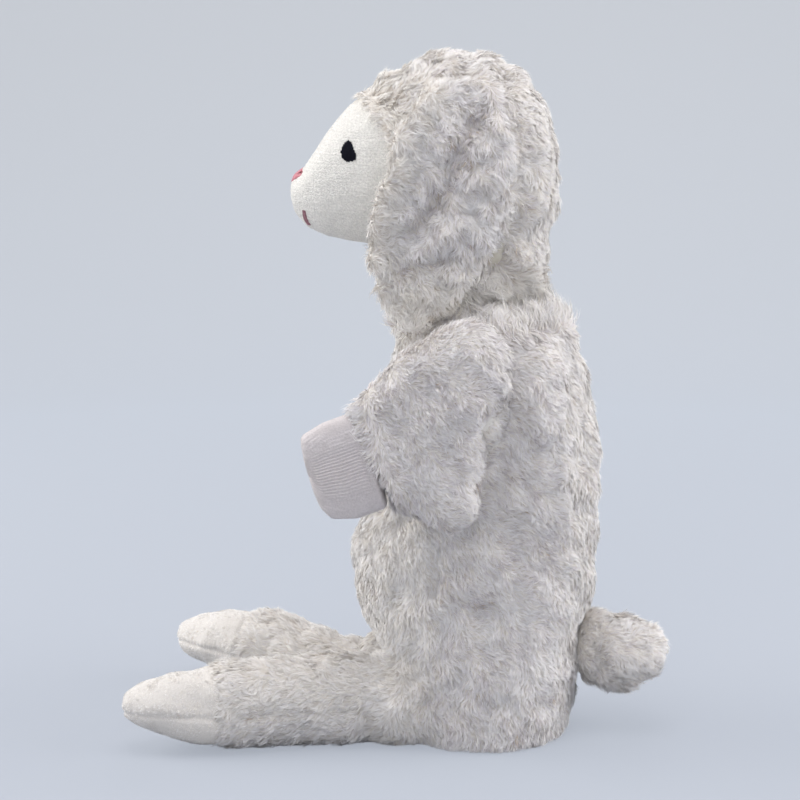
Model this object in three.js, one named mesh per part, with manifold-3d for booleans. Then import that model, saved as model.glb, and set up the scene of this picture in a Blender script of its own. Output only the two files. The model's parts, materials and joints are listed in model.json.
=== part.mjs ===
// Sheep hand puppet, sitting with its legs stretched forward.
// Millimetres, +Z up. The puppet faces -Y and its left side is +X.
// The solids are the cloth and the stuffing; the pile of the plush stands proud of them.
import * as THREE from "three";
import { mergeVertices } from "three/addons/utils/BufferGeometryUtils.js";
import Module from "manifold-3d";

const wasm = await Module();
wasm.setup();

// Cloth and clearances
const PLUSH_WALL = 3; // plush backing with the dense root of its pile
const KNIT_WALL = 1.6; // smooth knit of the face and the paws
const VELOUR_WALL = 2.2; // short velour of the toe caps
const LINING_WALL = 1.2; // jersey lining of the hand cavity and the finger pocket
const SEAM_GAP = 0.3; // between pieces that are sewn together
const JOINT_GAP = 0.5; // between pieces that turn against each other
const STITCH_HEIGHT = 0.9; // how far the embroidery stands above the knit

// Torso: horizontal sections of the glove, from the hem up, with the share of the folds' height there
const TORSO_SECTIONS = [
  { z: 0, front: -31, back: 39, side: 44, folds: 0 },
  { z: 9, front: -32, back: 41, side: 45, folds: 0 },
  { z: 30, front: -33, back: 44.5, side: 45, folds: 0 },
  { z: 43, front: -45, back: 46.5, side: 44.5, folds: 0 },
  { z: 60, front: -51, back: 48.5, side: 44, folds: 0.7 },
  { z: 84, front: -50, back: 51, side: 43.5, folds: 1 },
  { z: 108, front: -45, back: 52, side: 43.5, folds: 1 },
  { z: 130, front: -39.5, back: 50, side: 44.5, folds: 0.7 },
  { z: 148, front: -36, back: 47.5, side: 45, folds: 0.3 },
  { z: 163, front: -35.5, back: 44, side: 43.5, folds: 0 },
  { z: 173, front: -34.5, back: 40.5, side: 39.5, folds: 0 },
  { z: 179, front: -32, back: 36, side: 34.5, folds: 0 },
  { z: 184, front: -28, back: 29, side: 28.5, folds: 0 },
];
const TORSO_SQUARENESS = 2.3; // exponent of the section's superellipse
const SIDE_SEAM_Y = 4; // where the front and the back panel meet
const FOLDS_ROUND = 12; // soft upright folds, were they to go all the way round
const FOLD_RISE = 1.6; // of a fold above the panel's even form
const FOLD_DIP = 1; // of the valleys beside it
const FOLDLESS_SIDE = 0.5; // sine of the angle from the side seam at which the folds have faded out
const HEM_HEIGHT = 12; // of the facing round the hand opening
const HEM_SETBACK = 2; // how far above the hem's edge the lining and its facing start

// Neck and the finger channel through it
const NECK_RADIUS = 25; // of the ball that the head turns on
const NECK_Y = -1;
const NECK_CENTRE_DROP = 6; // from the torso's top down to the ball's centre
const FINGER_BORE = 12; // radius of the channel through the neck
const POCKET_TOP = 60; // height of the finger pocket's end above the torso's top

// Head: horizontal sections of the cranium and upright sections of the muzzle
const CRANIUM_SECTIONS = [
  { z: 191, front: -31, back: 26.5, side: 29 },
  { z: 199, front: -33, back: 27.5, side: 31 },
  { z: 209, front: -35.5, back: 29, side: 33.5 },
  { z: 222, front: -39, back: 31, side: 36.5 },
  { z: 240, front: -43, back: 33, side: 38 },
  { z: 256, front: -45, back: 32, side: 36.5 },
  { z: 269, front: -43, back: 27, side: 32 },
  { z: 279, front: -36, back: 20, side: 24.5 },
  { z: 286, front: -27, back: 11, side: 16 },
  { z: 289.5, front: -17, back: 1, side: 7 },
];
const CRANIUM_SQUARENESS = 2.1;
const MUZZLE_SECTIONS = [
  { y: -79.4, low: 229, high: 237, side: 4.5 },
  { y: -77.2, low: 222, high: 242.5, side: 10.5 },
  { y: -72, low: 216.5, high: 250, side: 16 },
  { y: -64, low: 213, high: 261, side: 21.5 },
  { y: -54, low: 211, high: 271.5, side: 26.5 },
  { y: -43, low: 209.5, high: 278, side: 31 },
  { y: -28, low: 209, high: 284.5, side: 34.5 },
  { y: -14, low: 211, high: 286, side: 36 },
];
const MUZZLE_SQUARENESS = 2.1;
const FACE_SEAM = { y: -69.5, z: 239.5, radius: 38.5 }; // the arc, seen from the side, where knit meets plush
const FOREHEAD_STRIP = 15; // width of the knit strip from the hood to the nose
const FOREHEAD_STRIP_END = { y: -71, z: 244 }; // where the strip ends above the nose
const FOREHEAD_STRIP_DROP = 22; // how far under that line the cheeks' cut reaches

// Embroidery
const EYE = { y: -51, z: 250.9, width: 6.6, height: 8.8, point: 1.5 };
const NOSE = { z: 238.8, width: 12, height: 7 };
const MOUTH = { low: [7.5, 217.6], high: [12.5, 224.3], width: 1.6 }; // X and Z of a stroke's ends

// Ears: stations down the ear, from its root at the top of the head to its tip
const EAR_STATIONS = [
  { z: 275, y: -2, out: 26.8, half: 12 },
  { z: 269, y: -4, out: 31, half: 16 },
  { z: 257, y: -8, out: 35.3, half: 20 },
  { z: 242, y: -10.5, out: 36.8, half: 22.5 },
  { z: 226, y: -13.5, out: 36.3, half: 24.5 },
  { z: 210, y: -17, out: 34.8, half: 23 },
  { z: 196, y: -20, out: 33.8, half: 18.5 },
  { z: 186, y: -22.5, out: 33.6, half: 12.5 },
  { z: 180, y: -24.5, out: 33.6, half: 5 },
];
const EAR_LAYER = 3.2; // thickness of each of the ear's two layers
const EAR_CUP = 2; // how far the ear's long edges curl towards the head

// Arms
const SHOULDER_X = 45.5; // plane of the arm's inner face
const SHOULDER = { y: 3, z: 150 }; // where the arm turns, level with its finger hole
const LEFT_ARM_DROOP_DEG = 0; // the sections below are the left arm's
const RIGHT_ARM_DROOP_DEG = 12; // the right arm hangs this much lower
// Upper and lower edge of the sleeve and the paw, seen from the side
const SLEEVE_STATIONS = [
  { top: [21, 165], bottom: [17.5, 145], thickness: 13 },
  { top: [16, 175.5], bottom: [12, 126], thickness: 20 },
  { top: [5, 182], bottom: [7, 103], thickness: 23 },
  { top: [-10, 182], bottom: [-3, 97], thickness: 23 },
  { top: [-28, 168.5], bottom: [-15, 102.5], thickness: 21 },
  { top: [-46, 148.5], bottom: [-28.5, 107], thickness: 17 },
];
const PAW_CUFF_INSET = 1.5; // how much narrower than the sleeve's end the paw starts
const PAW_STATIONS = [
  { top: [-58.5, 142], bottom: [-44, 102.5], thickness: 13 },
  { top: [-67, 136.5], bottom: [-54.5, 102], thickness: 9.5 },
  { top: [-69, 131], bottom: [-60, 107], thickness: 5 },
];
const SLEEVE_SQUARENESS = 2.6;
const ARM_HOLE_RADIUS = 11;

// Legs
const HIP_X = 27;
const LEG_SPLAY_DEG = 18;
const LEG_LENGTH = 101.7; // hip pivot to toe tip
const LEG_SET_BACK = 1; // the faceted root goes this much nearer than its round would
const LEG_HALF_HEIGHT = 17;
const LEG_HALF_WIDTH = 17.5;
const TOE_CAP_LENGTH = 38;
const SOLE_SEAM_Z = 16.5;
const SOLE_FLAT = 0.5; // how deep the sole is pressed flat on what it rests on

// Tail
const TAIL_Z = 35.5;
const TAIL_SET_BACK = 0.32; // as for the legs
const TAIL_ROOT_RADIUS = 12.5;
const TAIL_MOUTH_RADIUS = 3.5; // of the cover's opening at its root
const TAIL_HALF_HEIGHT = 16;
const TAIL_HALF_WIDTH = 17;
const TAIL_LENGTH = 22; // pivot to tip

const ROUND = 24; // points round a torso or head section
const INNER_ROUND = ROUND / 2; // points round the lining or filling inside it
const FINE = 16; // points round a limb section
const INNER_FINE = FINE / 2; // points round the filling inside it
const FAR = 400; // a cutting block that reaches past everything
const FINEST_DETAIL = 0.03; // smaller steps that the cuts leave are smoothed away

const rad = THREE.MathUtils.degToRad;
const torsoTop = TORSO_SECTIONS.at(-1).z;
const neckCentre = new THREE.Vector3(0, NECK_Y, torsoTop - NECK_CENTRE_DROP);

const material = (color, roughness) =>
  new THREE.MeshStandardMaterial({ color, roughness, metalness: 0 });
const plush = material(0xe9e4dd, 0.95);
const knit = material(0xe8e4da, 0.9);
const pawKnit = material(0xd9d2cf, 0.9);
const velour = material(0xe6dcd2, 0.85);
const jersey = material(0xdcd8cc, 0.95);
const wool = material(0xd8d0bf, 1);
const blackThread = material(0x12131a, 0.6);
const pinkThread = material(0xd07c86, 0.6);

// A geometry as a solid that can be joined and cut, and back.
function solid(geometry) {
  const bare = geometry.clone();
  bare.deleteAttribute("normal");
  bare.deleteAttribute("uv");
  const merged = mergeVertices(bare, 1e-4);
  return new wasm.Manifold(
    new wasm.Mesh({
      numProp: 3,
      vertProperties: merged.attributes.position.array,
      triVerts: new Uint32Array(merged.index.array),
    }),
  );
}

function geometryOf(shape) {
  const mesh = shape.simplify(FINEST_DETAIL).getMesh();
  const positions = new Float32Array(mesh.numVert * 3);
  for (let i = 0; i < mesh.numVert; i++) {
    positions.set(mesh.vertProperties.subarray(i * mesh.numProp, i * mesh.numProp + 3), i * 3);
  }
  const geometry = new THREE.BufferGeometry();
  geometry.setAttribute("position", new THREE.BufferAttribute(positions, 3));
  geometry.setIndex(new THREE.BufferAttribute(mesh.triVerts, 1));
  geometry.computeVertexNormals();
  return geometry;
}

// A closed skin over rings of points, with a fan over each end.
function loft(rings) {
  const n = rings[0].length;
  const points = rings.flat();
  const middle = (ring) =>
    ring.reduce((sum, p) => sum.add(p), new THREE.Vector3()).divideScalar(ring.length);
  const first = points.push(middle(rings[0])) - 1;
  const last = points.push(middle(rings.at(-1))) - 1;
  const faces = [];
  for (let r = 0; r + 1 < rings.length; r++) {
    for (let i = 0; i < n; i++) {
      const a = r * n + i;
      const b = r * n + ((i + 1) % n);
      faces.push(a, b, b + n, a, b + n, a + n);
    }
  }
  const top = (rings.length - 1) * n;
  for (let i = 0; i < n; i++) {
    const j = (i + 1) % n;
    faces.push(first, j, i, last, top + i, top + j);
  }
  // Six times the signed volume, to turn an inside-out skin round
  let volume = 0;
  for (let i = 0; i < faces.length; i += 3) {
    const [a, b, c] = [points[faces[i]], points[faces[i + 1]], points[faces[i + 2]]];
    volume += a.dot(new THREE.Vector3().crossVectors(b, c));
  }
  if (volume < 0) faces.reverse();
  const geometry = new THREE.BufferGeometry().setFromPoints(points);
  geometry.setIndex(faces);
  return solid(geometry);
}

// A superellipse ring: centre + u * a * cos + v * b * sin.
function ring(centre, u, v, a, b, squareness, count) {
  const bend = (t) => Math.sign(t) * Math.abs(t) ** (2 / squareness);
  return Array.from({ length: count }, (_, i) => {
    const angle = (2 * Math.PI * i) / count;
    return centre
      .clone()
      .addScaledVector(u, a * bend(Math.cos(angle)))
      .addScaledVector(v, b * bend(Math.sin(angle)));
  });
}

// A section's place, drawn in towards the fixed end so that the free end comes in by inset.
const drawnIn = (place, fixed, free, inset) =>
  fixed + (place - fixed) * (1 - inset / Math.abs(free - fixed));

const X = new THREE.Vector3(1, 0, 0);
const Y = new THREE.Vector3(0, 1, 0);
const Z = new THREE.Vector3(0, 0, 1);

// A block between two corners.
function block(x0, y0, z0, x1, y1, z1) {
  const box = new THREE.BoxGeometry(x1 - x0, y1 - y0, z1 - z0);
  box.translate((x0 + x1) / 2, (y0 + y1) / 2, (z0 + z1) / 2);
  return solid(box);
}

// A cylinder along X between two planes.
function cylinderX(radius, y, z, x0, x1, sides = 40) {
  const cylinder = new THREE.CylinderGeometry(radius, radius, x1 - x0, sides);
  cylinder.rotateZ(Math.PI / 2);
  cylinder.translate((x0 + x1) / 2, y, z);
  return solid(cylinder);
}

const parts = [];
function piece(name, shape, finish) {
  const mesh = new THREE.Mesh(geometryOf(shape), finish);
  mesh.name = name;
  parts.push(mesh);
}

// How far the folds of the belly and the back push a point of a torso section out, or in between them.
function foldPush(angle, share) {
  const facing = Math.max(0, Math.abs(Math.sin(angle)) - FOLDLESS_SIDE) / (1 - FOLDLESS_SIDE);
  const wave = -Math.cos(FOLDS_ROUND * angle);
  return share * facing * wave * (wave > 0 ? FOLD_RISE : FOLD_DIP);
}

// The glove's form, taken in by inset and kept open below when open is true. Only its outside is folded.
function torsoForm(inset, open = false, count = ROUND) {
  const rings = TORSO_SECTIONS.map((s) => {
    const z = drawnIn(s.z, 0, torsoTop, inset);
    const y = (s.front + s.back) / 2;
    const depth = (s.back - s.front) / 2 - inset;
    const centre = new THREE.Vector3(0, y, z);
    const points = ring(centre, X, Y, s.side - inset, depth, TORSO_SQUARENESS, count);
    if (inset > 0) return points;
    return points.map((p, i) => {
      const out = p.clone().sub(centre).normalize();
      return p.addScaledVector(out, foldPush((2 * Math.PI * i) / count, s.folds));
    });
  });
  if (open) rings.unshift(rings[0].map((p) => p.clone().setZ(p.z - HEM_HEIGHT)));
  return loft(rings);
}

const fingerChannel = (radius) => {
  const channel = new THREE.CylinderGeometry(radius, radius, 3 * NECK_RADIUS, FINE);
  channel.rotateX(Math.PI / 2);
  channel.translate(0, NECK_Y, torsoTop);
  return solid(channel);
};

function makeTorso() {
  const channel = fingerChannel(FINGER_BORE);
  const armHole = ARM_HOLE_RADIUS + JOINT_GAP;
  const armHoles = cylinderX(armHole, SHOULDER.y, SHOULDER.z, -FAR, FAR, FINE);
  const openings = channel.add(armHoles);
  const shell = torsoForm(0).subtract(torsoForm(PLUSH_WALL, true)).subtract(openings);
  const seamHalf = SEAM_GAP / 2;
  const ahead = block(-FAR, -FAR, -FAR, FAR, SIDE_SEAM_Y - seamHalf, FAR);
  const behind = block(-FAR, SIDE_SEAM_Y + seamHalf, -FAR, FAR, FAR, FAR);
  piece("body_front_panel", shell.intersect(ahead), plush);
  piece("body_back_panel", shell.intersect(behind), plush);

  const liningOuter = PLUSH_WALL + SEAM_GAP;
  const liningInner = liningOuter + LINING_WALL;
  const lining = torsoForm(liningOuter, false, INNER_ROUND)
    .subtract(torsoForm(liningInner, true, INNER_ROUND))
    .subtract(openings)
    .intersect(block(-FAR, -FAR, HEM_SETBACK, FAR, FAR, FAR));
  piece("hand_cavity_lining", lining, jersey);

  const facingOuter = liningInner + SEAM_GAP;
  const facing = torsoForm(facingOuter, false, INNER_ROUND)
    .subtract(torsoForm(facingOuter + LINING_WALL, true, INNER_ROUND))
    .intersect(block(-FAR, -FAR, HEM_SETBACK, FAR, FAR, HEM_HEIGHT));
  piece("hem_facing", facing, jersey);
}

function makeNeck() {
  const ball = new THREE.SphereGeometry(NECK_RADIUS, ROUND, ROUND / 2);
  ball.rotateX(Math.PI / 2);
  ball.translate(...neckCentre);
  const collar = solid(ball)
    .intersect(block(-FAR, -FAR, torsoTop + SEAM_GAP, FAR, FAR, FAR))
    .subtract(fingerChannel(FINGER_BORE));
  piece("neck_collar", collar, plush);
}

// The head's outer form, taken in by inset: cranium and muzzle joined.
function headForm(inset, count = ROUND) {
  const [base, top] = [CRANIUM_SECTIONS[0].z, CRANIUM_SECTIONS.at(-1).z];
  const cranium = CRANIUM_SECTIONS.map((s) => {
    const share = s.z === top ? 0.4 : 1;
    const z = drawnIn(s.z, base, top, inset);
    const centre = new THREE.Vector3(0, (s.front + s.back) / 2, z);
    const depth = (s.back - s.front) / 2 - inset * share;
    return ring(centre, X, Y, s.side - inset * share, depth, CRANIUM_SQUARENESS, count);
  });
  const [tip, root] = [MUZZLE_SECTIONS[0].y, MUZZLE_SECTIONS.at(-1).y];
  const muzzle = MUZZLE_SECTIONS.map((s) => {
    const share = s.y === tip ? 0.4 : 1;
    const y = drawnIn(s.y, root, tip, inset);
    const centre = new THREE.Vector3(0, y, (s.low + s.high) / 2);
    const height = (s.high - s.low) / 2 - inset * share;
    return ring(centre, X, Z, s.side - inset * share, height, MUZZLE_SQUARENESS, count);
  });
  return loft(cranium).add(loft(muzzle));
}

function makeHead() {
  const socketBall = new THREE.SphereGeometry(NECK_RADIUS + JOINT_GAP, ROUND, ROUND / 2);
  socketBall.rotateX(Math.PI / 2);
  socketBall.translate(...neckCentre);
  const socket = solid(socketBall);
  const faceRegion = (growth) =>
    cylinderX(FACE_SEAM.radius + growth, FACE_SEAM.y, FACE_SEAM.z, -FAR, FAR);

  const outer = headForm(0).subtract(socket);
  const hood = outer.subtract(headForm(PLUSH_WALL)).subtract(faceRegion(SEAM_GAP / 2));
  piece("head_hood", hood, plush);

  // The knit face: a strip down the forehead and a cheek on each side
  const face = outer.subtract(headForm(KNIT_WALL)).intersect(faceRegion(-SEAM_GAP / 2));
  const top = CRANIUM_SECTIONS.at(-1).z;
  const strip = (growth) => {
    const half = FOREHEAD_STRIP / 2 + growth;
    const end = FOREHEAD_STRIP_END;
    const back = FACE_SEAM.y + FACE_SEAM.radius;
    const outline = new THREE.Shape([
      new THREE.Vector2(end.y - growth - FOREHEAD_STRIP, end.z - growth),
      new THREE.Vector2(end.y - growth, end.z - growth),
      new THREE.Vector2(back, top - FOREHEAD_STRIP_DROP - growth),
      new THREE.Vector2(back, top + growth),
      new THREE.Vector2(end.y - growth - FOREHEAD_STRIP, top + growth),
    ]);
    const slab = new THREE.ExtrudeGeometry(outline, { depth: 2 * half, bevelEnabled: false });
    // Shape x, y and depth become Y, Z and X
    slab.applyMatrix4(new THREE.Matrix4().makeBasis(Y, Z, X).setPosition(-half, 0, 0));
    return solid(slab);
  };
  piece("forehead_strip", face.intersect(strip(-SEAM_GAP)), knit);
  const cheeks = face.subtract(strip(0));
  const seamHalf = SEAM_GAP / 2;
  piece("cheek_left", cheeks.intersect(block(seamHalf, -FAR, -FAR, FAR, FAR, FAR)), knit);
  piece("cheek_right", cheeks.intersect(block(-FAR, -FAR, -FAR, -seamHalf, FAR, FAR)), knit);

  // Wool filling, with the finger pocket up its middle
  const pocket = (radius, end) => {
    const profile = [new THREE.Vector2(0, torsoTop - NECK_RADIUS)];
    profile.push(new THREE.Vector2(radius, torsoTop - NECK_RADIUS));
    const steps = 4;
    for (let i = 0; i <= steps; i++) {
      const angle = (Math.PI / 2) * (i / steps);
      const out = i === steps ? 0 : radius * Math.cos(angle);
      profile.push(new THREE.Vector2(out, end - radius + radius * Math.sin(angle)));
    }
    const lathe = new THREE.LatheGeometry(profile, FINE);
    lathe.rotateX(Math.PI / 2);
    lathe.translate(0, NECK_Y, 0);
    return solid(lathe);
  };
  const pocketEnd = torsoTop + POCKET_TOP;
  const liningOuter = FINGER_BORE + SEAM_GAP;
  const knitInset = KNIT_WALL + SEAM_GAP;
  const filling = headForm(PLUSH_WALL + SEAM_GAP, INNER_ROUND)
    .add(headForm(knitInset, INNER_ROUND).intersect(faceRegion(-2 * SEAM_GAP)))
    .subtract(socket)
    .subtract(pocket(liningOuter + SEAM_GAP, pocketEnd + LINING_WALL + SEAM_GAP));
  piece("head_filling", filling, wool);
  const tube = pocket(liningOuter, pocketEnd + LINING_WALL)
    .subtract(pocket(liningOuter - LINING_WALL, pocketEnd))
    .subtract(socket);
  piece("finger_pocket_lining", tube, jersey);

  makeEmbroidery();
}

// Stitched patches that stand on the knit
function makeEmbroidery() {
  const skin = headForm(-SEAM_GAP - STITCH_HEIGHT).subtract(headForm(-SEAM_GAP));
  const prism = (outline, depth, place) => {
    const geometry = new THREE.ExtrudeGeometry(outline, {
      depth,
      bevelEnabled: false,
      curveSegments: 5,
    });
    return solid(geometry.applyMatrix4(place));
  };
  const drop = new THREE.Shape();
  const [w, h] = [EYE.width / 2, EYE.height / 2];
  drop.moveTo(-EYE.point, h);
  drop.bezierCurveTo(EYE.point, h, w, h / 4, w, -h / 3);
  drop.bezierCurveTo(w, -h, w / 3, -h, 0, -h);
  drop.bezierCurveTo(-w, -h, -w, -h / 3, -w, 0);
  drop.bezierCurveTo(-w, h / 2, -w, h, -EYE.point, h);
  const eyeAt = (side) =>
    new THREE.Matrix4()
      .makeBasis(Y, Z, X)
      .setPosition(side > 0 ? 0 : -FAR, EYE.y, EYE.z);
  piece("eye_left", skin.intersect(prism(drop, FAR, eyeAt(1))), blackThread);
  piece("eye_right", skin.intersect(prism(drop, FAR, eyeAt(-1))), blackThread);

  const ahead = MUZZLE_SECTIONS[3].y; // only the muzzle's front carries nose and mouth
  const facing = (z) =>
    new THREE.Matrix4().makeBasis(X, Z, Y.clone().negate()).setPosition(0, ahead, z);
  const nose = new THREE.Shape();
  nose.absellipse(0, 0, NOSE.width / 2, NOSE.height / 2, 0, 2 * Math.PI);
  piece("nose", skin.intersect(prism(nose, FAR, facing(NOSE.z))), pinkThread);
  for (const [side, name] of [[1, "mouth_left"], [-1, "mouth_right"]]) {
    const low = new THREE.Vector2(side * MOUTH.low[0], MOUTH.low[1]);
    const high = new THREE.Vector2(side * MOUTH.high[0], MOUTH.high[1]);
    const run = high.clone().sub(low).normalize();
    const across = new THREE.Vector2(-run.y, run.x).multiplyScalar(MOUTH.width / 2);
    const stroke = new THREE.Shape([
      low.clone().sub(across),
      high.clone().sub(across),
      high.clone().add(across),
      low.clone().add(across),
    ]);
    piece(name, skin.intersect(prism(stroke, FAR, facing(0))), pinkThread);
  }
}

// Each ear is two layers sewn along their edge, hanging from its root beside the head.
function makeEars() {
  const line = EAR_STATIONS.map((s) => new THREE.Vector3(s.out, s.y, s.z));
  const broadest = Math.max(...EAR_STATIONS.map((s) => s.half));
  const layer = (from, side) =>
    loft(
      EAR_STATIONS.map((s, i) => {
        const before = line[Math.max(0, i - 1)];
        const after = line[Math.min(line.length - 1, i + 1)];
        const down = after.clone().sub(before).setY(0).normalize();
        const out = new THREE.Vector3(-down.z, 0, down.x);
        const middle = line[i].clone().addScaledVector(out, from + EAR_LAYER / 2);
        const points = ring(middle, Y, out, s.half, EAR_LAYER / 2, 2, FINE);
        for (const p of points) {
          const share = (p.y - s.y) / s.half;
          p.addScaledVector(out, EAR_CUP * (0.5 - share * share) * (s.half / broadest));
          p.x *= side;
        }
        return points;
      }),
    );
  const outerFrom = EAR_CUP / 2 + EAR_LAYER + SEAM_GAP;
  piece("ear_left_inner", layer(EAR_CUP / 2, 1), plush);
  piece("ear_left_outer", layer(outerFrom, 1), plush);
  piece("ear_right_inner", layer(EAR_CUP / 2, -1), plush);
  piece("ear_right_outer", layer(outerFrom, -1), plush);
}

// One arm: a flat plush sleeve of two panels, with a round root at the shoulder, and a knit paw.
function makeArm(side, name, droop) {
  const middle = SHOULDER_X + Math.max(...SLEEVE_STATIONS.map((s) => s.thickness)) / 2;
  const shoulder = new THREE.Vector2(SHOULDER.y, SHOULDER.z);
  const hung = (place) => new THREE.Vector2(...place).rotateAround(shoulder, rad(droop)).toArray();
  const lowered = (stations) =>
    stations.map((s) => ({ ...s, top: hung(s.top), bottom: hung(s.bottom) }));
  const sleeveStations = lowered(SLEEVE_STATIONS);
  const handStations = lowered(PAW_STATIONS);
  // A skin through the stations, taken in by inset; an open end is carried on past its last one
  const form = (stations, inset, carry) => {
    const rings = stations.map((s, i) => {
      const top = new THREE.Vector3(side * middle, ...s.top);
      const bottom = new THREE.Vector3(side * middle, ...s.bottom);
      const centre = top.clone().lerp(bottom, 0.5);
      const across = bottom.clone().sub(top).normalize();
      const half = top.distanceTo(bottom) / 2;
      const closed = i === carry.closed;
      const share = closed ? 0.5 : 1;
      if (closed) centre.lerp(carry.inner, inset / centre.distanceTo(carry.inner));
      if (i === carry.open) centre.addScaledVector(carry.along, inset);
      return ring(
        centre, across, X, half - inset * share, s.thickness / 2 - inset * share,
        SLEEVE_SQUARENESS, FINE,
      );
    });
    return loft(rings);
  };
  const centreOf = (s) =>
    new THREE.Vector3(side * middle, (s.top[0] + s.bottom[0]) / 2, (s.top[1] + s.bottom[1]) / 2);
  const wrist = centreOf(sleeveStations.at(-1));
  const along = wrist.clone().sub(centreOf(sleeveStations.at(-2))).normalize();
  const shoulderEnd = { closed: 0, inner: centreOf(sleeveStations[1]) };
  const sleeve = (inset) =>
    form(sleeveStations, inset, { ...shoulderEnd, open: sleeveStations.length - 1, along });
  const span = (a, b) => [side * a, side * b].sort((p, q) => p - q);
  const slab = ([x0, x1]) => block(x0, -FAR, -FAR, x1, FAR, FAR);
  const seamHalf = SEAM_GAP / 2;
  const hole = span(SHOULDER_X - PLUSH_WALL, middle);
  const armHole = cylinderX(ARM_HOLE_RADIUS, SHOULDER.y, SHOULDER.z, ...hole, FINE);
  const shell = sleeve(0).subtract(sleeve(PLUSH_WALL)).subtract(armHole);
  piece(`arm_${name}_sleeve_outer`, shell.intersect(slab(span(middle + seamHalf, FAR))), plush);
  piece(`arm_${name}_sleeve_inner`, shell.intersect(slab(span(0, middle - seamHalf))), plush);

  // The paw starts just past the sleeve's end and a little narrower than it
  const end = sleeveStations.at(-1);
  const cuffEdge = ([y, z], other) => {
    const point = new THREE.Vector2(y, z);
    const inwards = new THREE.Vector2(...other).sub(point).normalize();
    point.addScaledVector(inwards, PAW_CUFF_INSET);
    return [point.x + along.y * SEAM_GAP, point.y + along.z * SEAM_GAP];
  };
  const cuff = {
    top: cuffEdge(end.top, end.bottom),
    bottom: cuffEdge(end.bottom, end.top),
    thickness: end.thickness - 2 * PAW_CUFF_INSET,
  };
  const pawStations = [cuff, ...handStations];
  const pawEnd = {
    closed: pawStations.length - 1,
    inner: centreOf(handStations.at(-2)),
    open: 0,
    along: along.clone().negate(),
  };
  const paw = (inset) => form(pawStations, inset, pawEnd);
  piece(`arm_${name}_paw`, paw(0).subtract(paw(KNIT_WALL)), pawKnit);
}

// One leg: four cloth panels round a wool filling, turning at the hip.
function makeLeg(side, name) {
  const splay = rad(LEG_SPLAY_DEG);
  const along = new THREE.Vector3(side * Math.sin(splay), -Math.cos(splay), 0);
  const across = new THREE.Vector3(Math.cos(splay), side * Math.sin(splay), 0);
  const hip = hipPoint(side);
  const section = (distance, low, high, half, inset, count) => {
    const centre = hip.clone().addScaledVector(along, distance);
    centre.setZ((low + high) / 2 - SOLE_FLAT);
    return ring(centre, across, Z, half - inset, (high - low) / 2 - inset, 2.2, count);
  };
  const full = 2 * LEG_HALF_HEIGHT;
  // Shares of the length from hip to toe, with the height and width there
  const body = [
    { at: 0, low: 0, high: 1, half: 1 },
    { at: 0.35, low: 0, high: 1.01, half: 1.03 },
    { at: 0.62, low: 0, high: 1.02, half: 1.05 },
    { at: 0.8, low: 0.03, high: 1, half: 0.94 },
    { at: 0.92, low: 0.16, high: 0.87, half: 0.7 },
    { at: 1, low: 0.4, high: 0.72, half: 0.34 },
  ];
  const form = (inset, count = FINE) => {
    const rings = [0.97, 0.75, 0.4].map((share) => {
      const reach = LEG_HALF_HEIGHT - inset;
      const half = reach * Math.sqrt(1 - share * share) + inset;
      const width = LEG_HALF_WIDTH * (1 - 0.35 * share ** 3);
      return section(
        -share * reach, LEG_HALF_HEIGHT - half, LEG_HALF_HEIGHT + half, width, inset, count,
      );
    });
    for (const s of body) {
      const distance = drawnIn(s.at * LEG_LENGTH, 0, LEG_LENGTH, inset);
      const width = s.half * LEG_HALF_WIDTH;
      const share = s.at === 1 ? 0.4 : 1;
      rings.push(section(distance, s.low * full, s.high * full, width, inset * share, count));
    }
    return loft(rings).intersect(block(-FAR, -FAR, inset, FAR, FAR, FAR));
  };
  const seamHalf = SEAM_GAP / 2;
  const capFrom = LEG_LENGTH - TOE_CAP_LENGTH;
  // Everything further along the leg than a distance, as a block turned to the leg's line
  const beyond = (distance) => {
    const half = new THREE.BoxGeometry(FAR, FAR, FAR);
    half.translate(0, -FAR / 2, 0);
    const turn = new THREE.Matrix4().makeRotationZ(side * splay);
    turn.setPosition(hip.clone().addScaledVector(along, distance));
    return solid(half.applyMatrix4(turn));
  };
  const above = block(-FAR, -FAR, SOLE_SEAM_Z + seamHalf, FAR, FAR, FAR);
  const below = block(-FAR, -FAR, -FAR, FAR, FAR, SOLE_SEAM_Z - seamHalf);
  const cover = form(0).subtract(form(PLUSH_WALL)).subtract(beyond(capFrom - seamHalf));
  const cap = form(0).subtract(form(VELOUR_WALL)).intersect(beyond(capFrom + seamHalf));
  piece(`leg_${name}_upper`, cover.intersect(above), plush);
  piece(`leg_${name}_sole`, cover.intersect(below), plush);
  piece(`toe_cap_${name}_upper`, cap.intersect(above), velour);
  piece(`toe_cap_${name}_sole`, cap.intersect(below), velour);
  piece(`leg_${name}_filling`, form(PLUSH_WALL + SEAM_GAP, INNER_FINE), wool);
}

// Where the leg turns: just ahead of the torso's front, its root nearly touching it.
function hipPoint(side) {
  const splay = rad(LEG_SPLAY_DEG);
  const section = TORSO_SECTIONS[2]; // the one that the leg's root meets
  const half = (section.back - section.front) / 2;
  const reach = LEG_HALF_HEIGHT + JOINT_GAP;
  const x = HIP_X - reach * Math.sin(splay); // where the root's back comes nearest
  const across = Math.min(0.99, x / section.side);
  const depth = half * (1 - across ** TORSO_SQUARENESS) ** (1 / TORSO_SQUARENESS);
  const front = (section.front + section.back) / 2 - depth + LEG_SET_BACK;
  const z = LEG_HALF_HEIGHT - SOLE_FLAT;
  return new THREE.Vector3(side * HIP_X, front - reach * Math.cos(splay), z);
}

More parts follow.
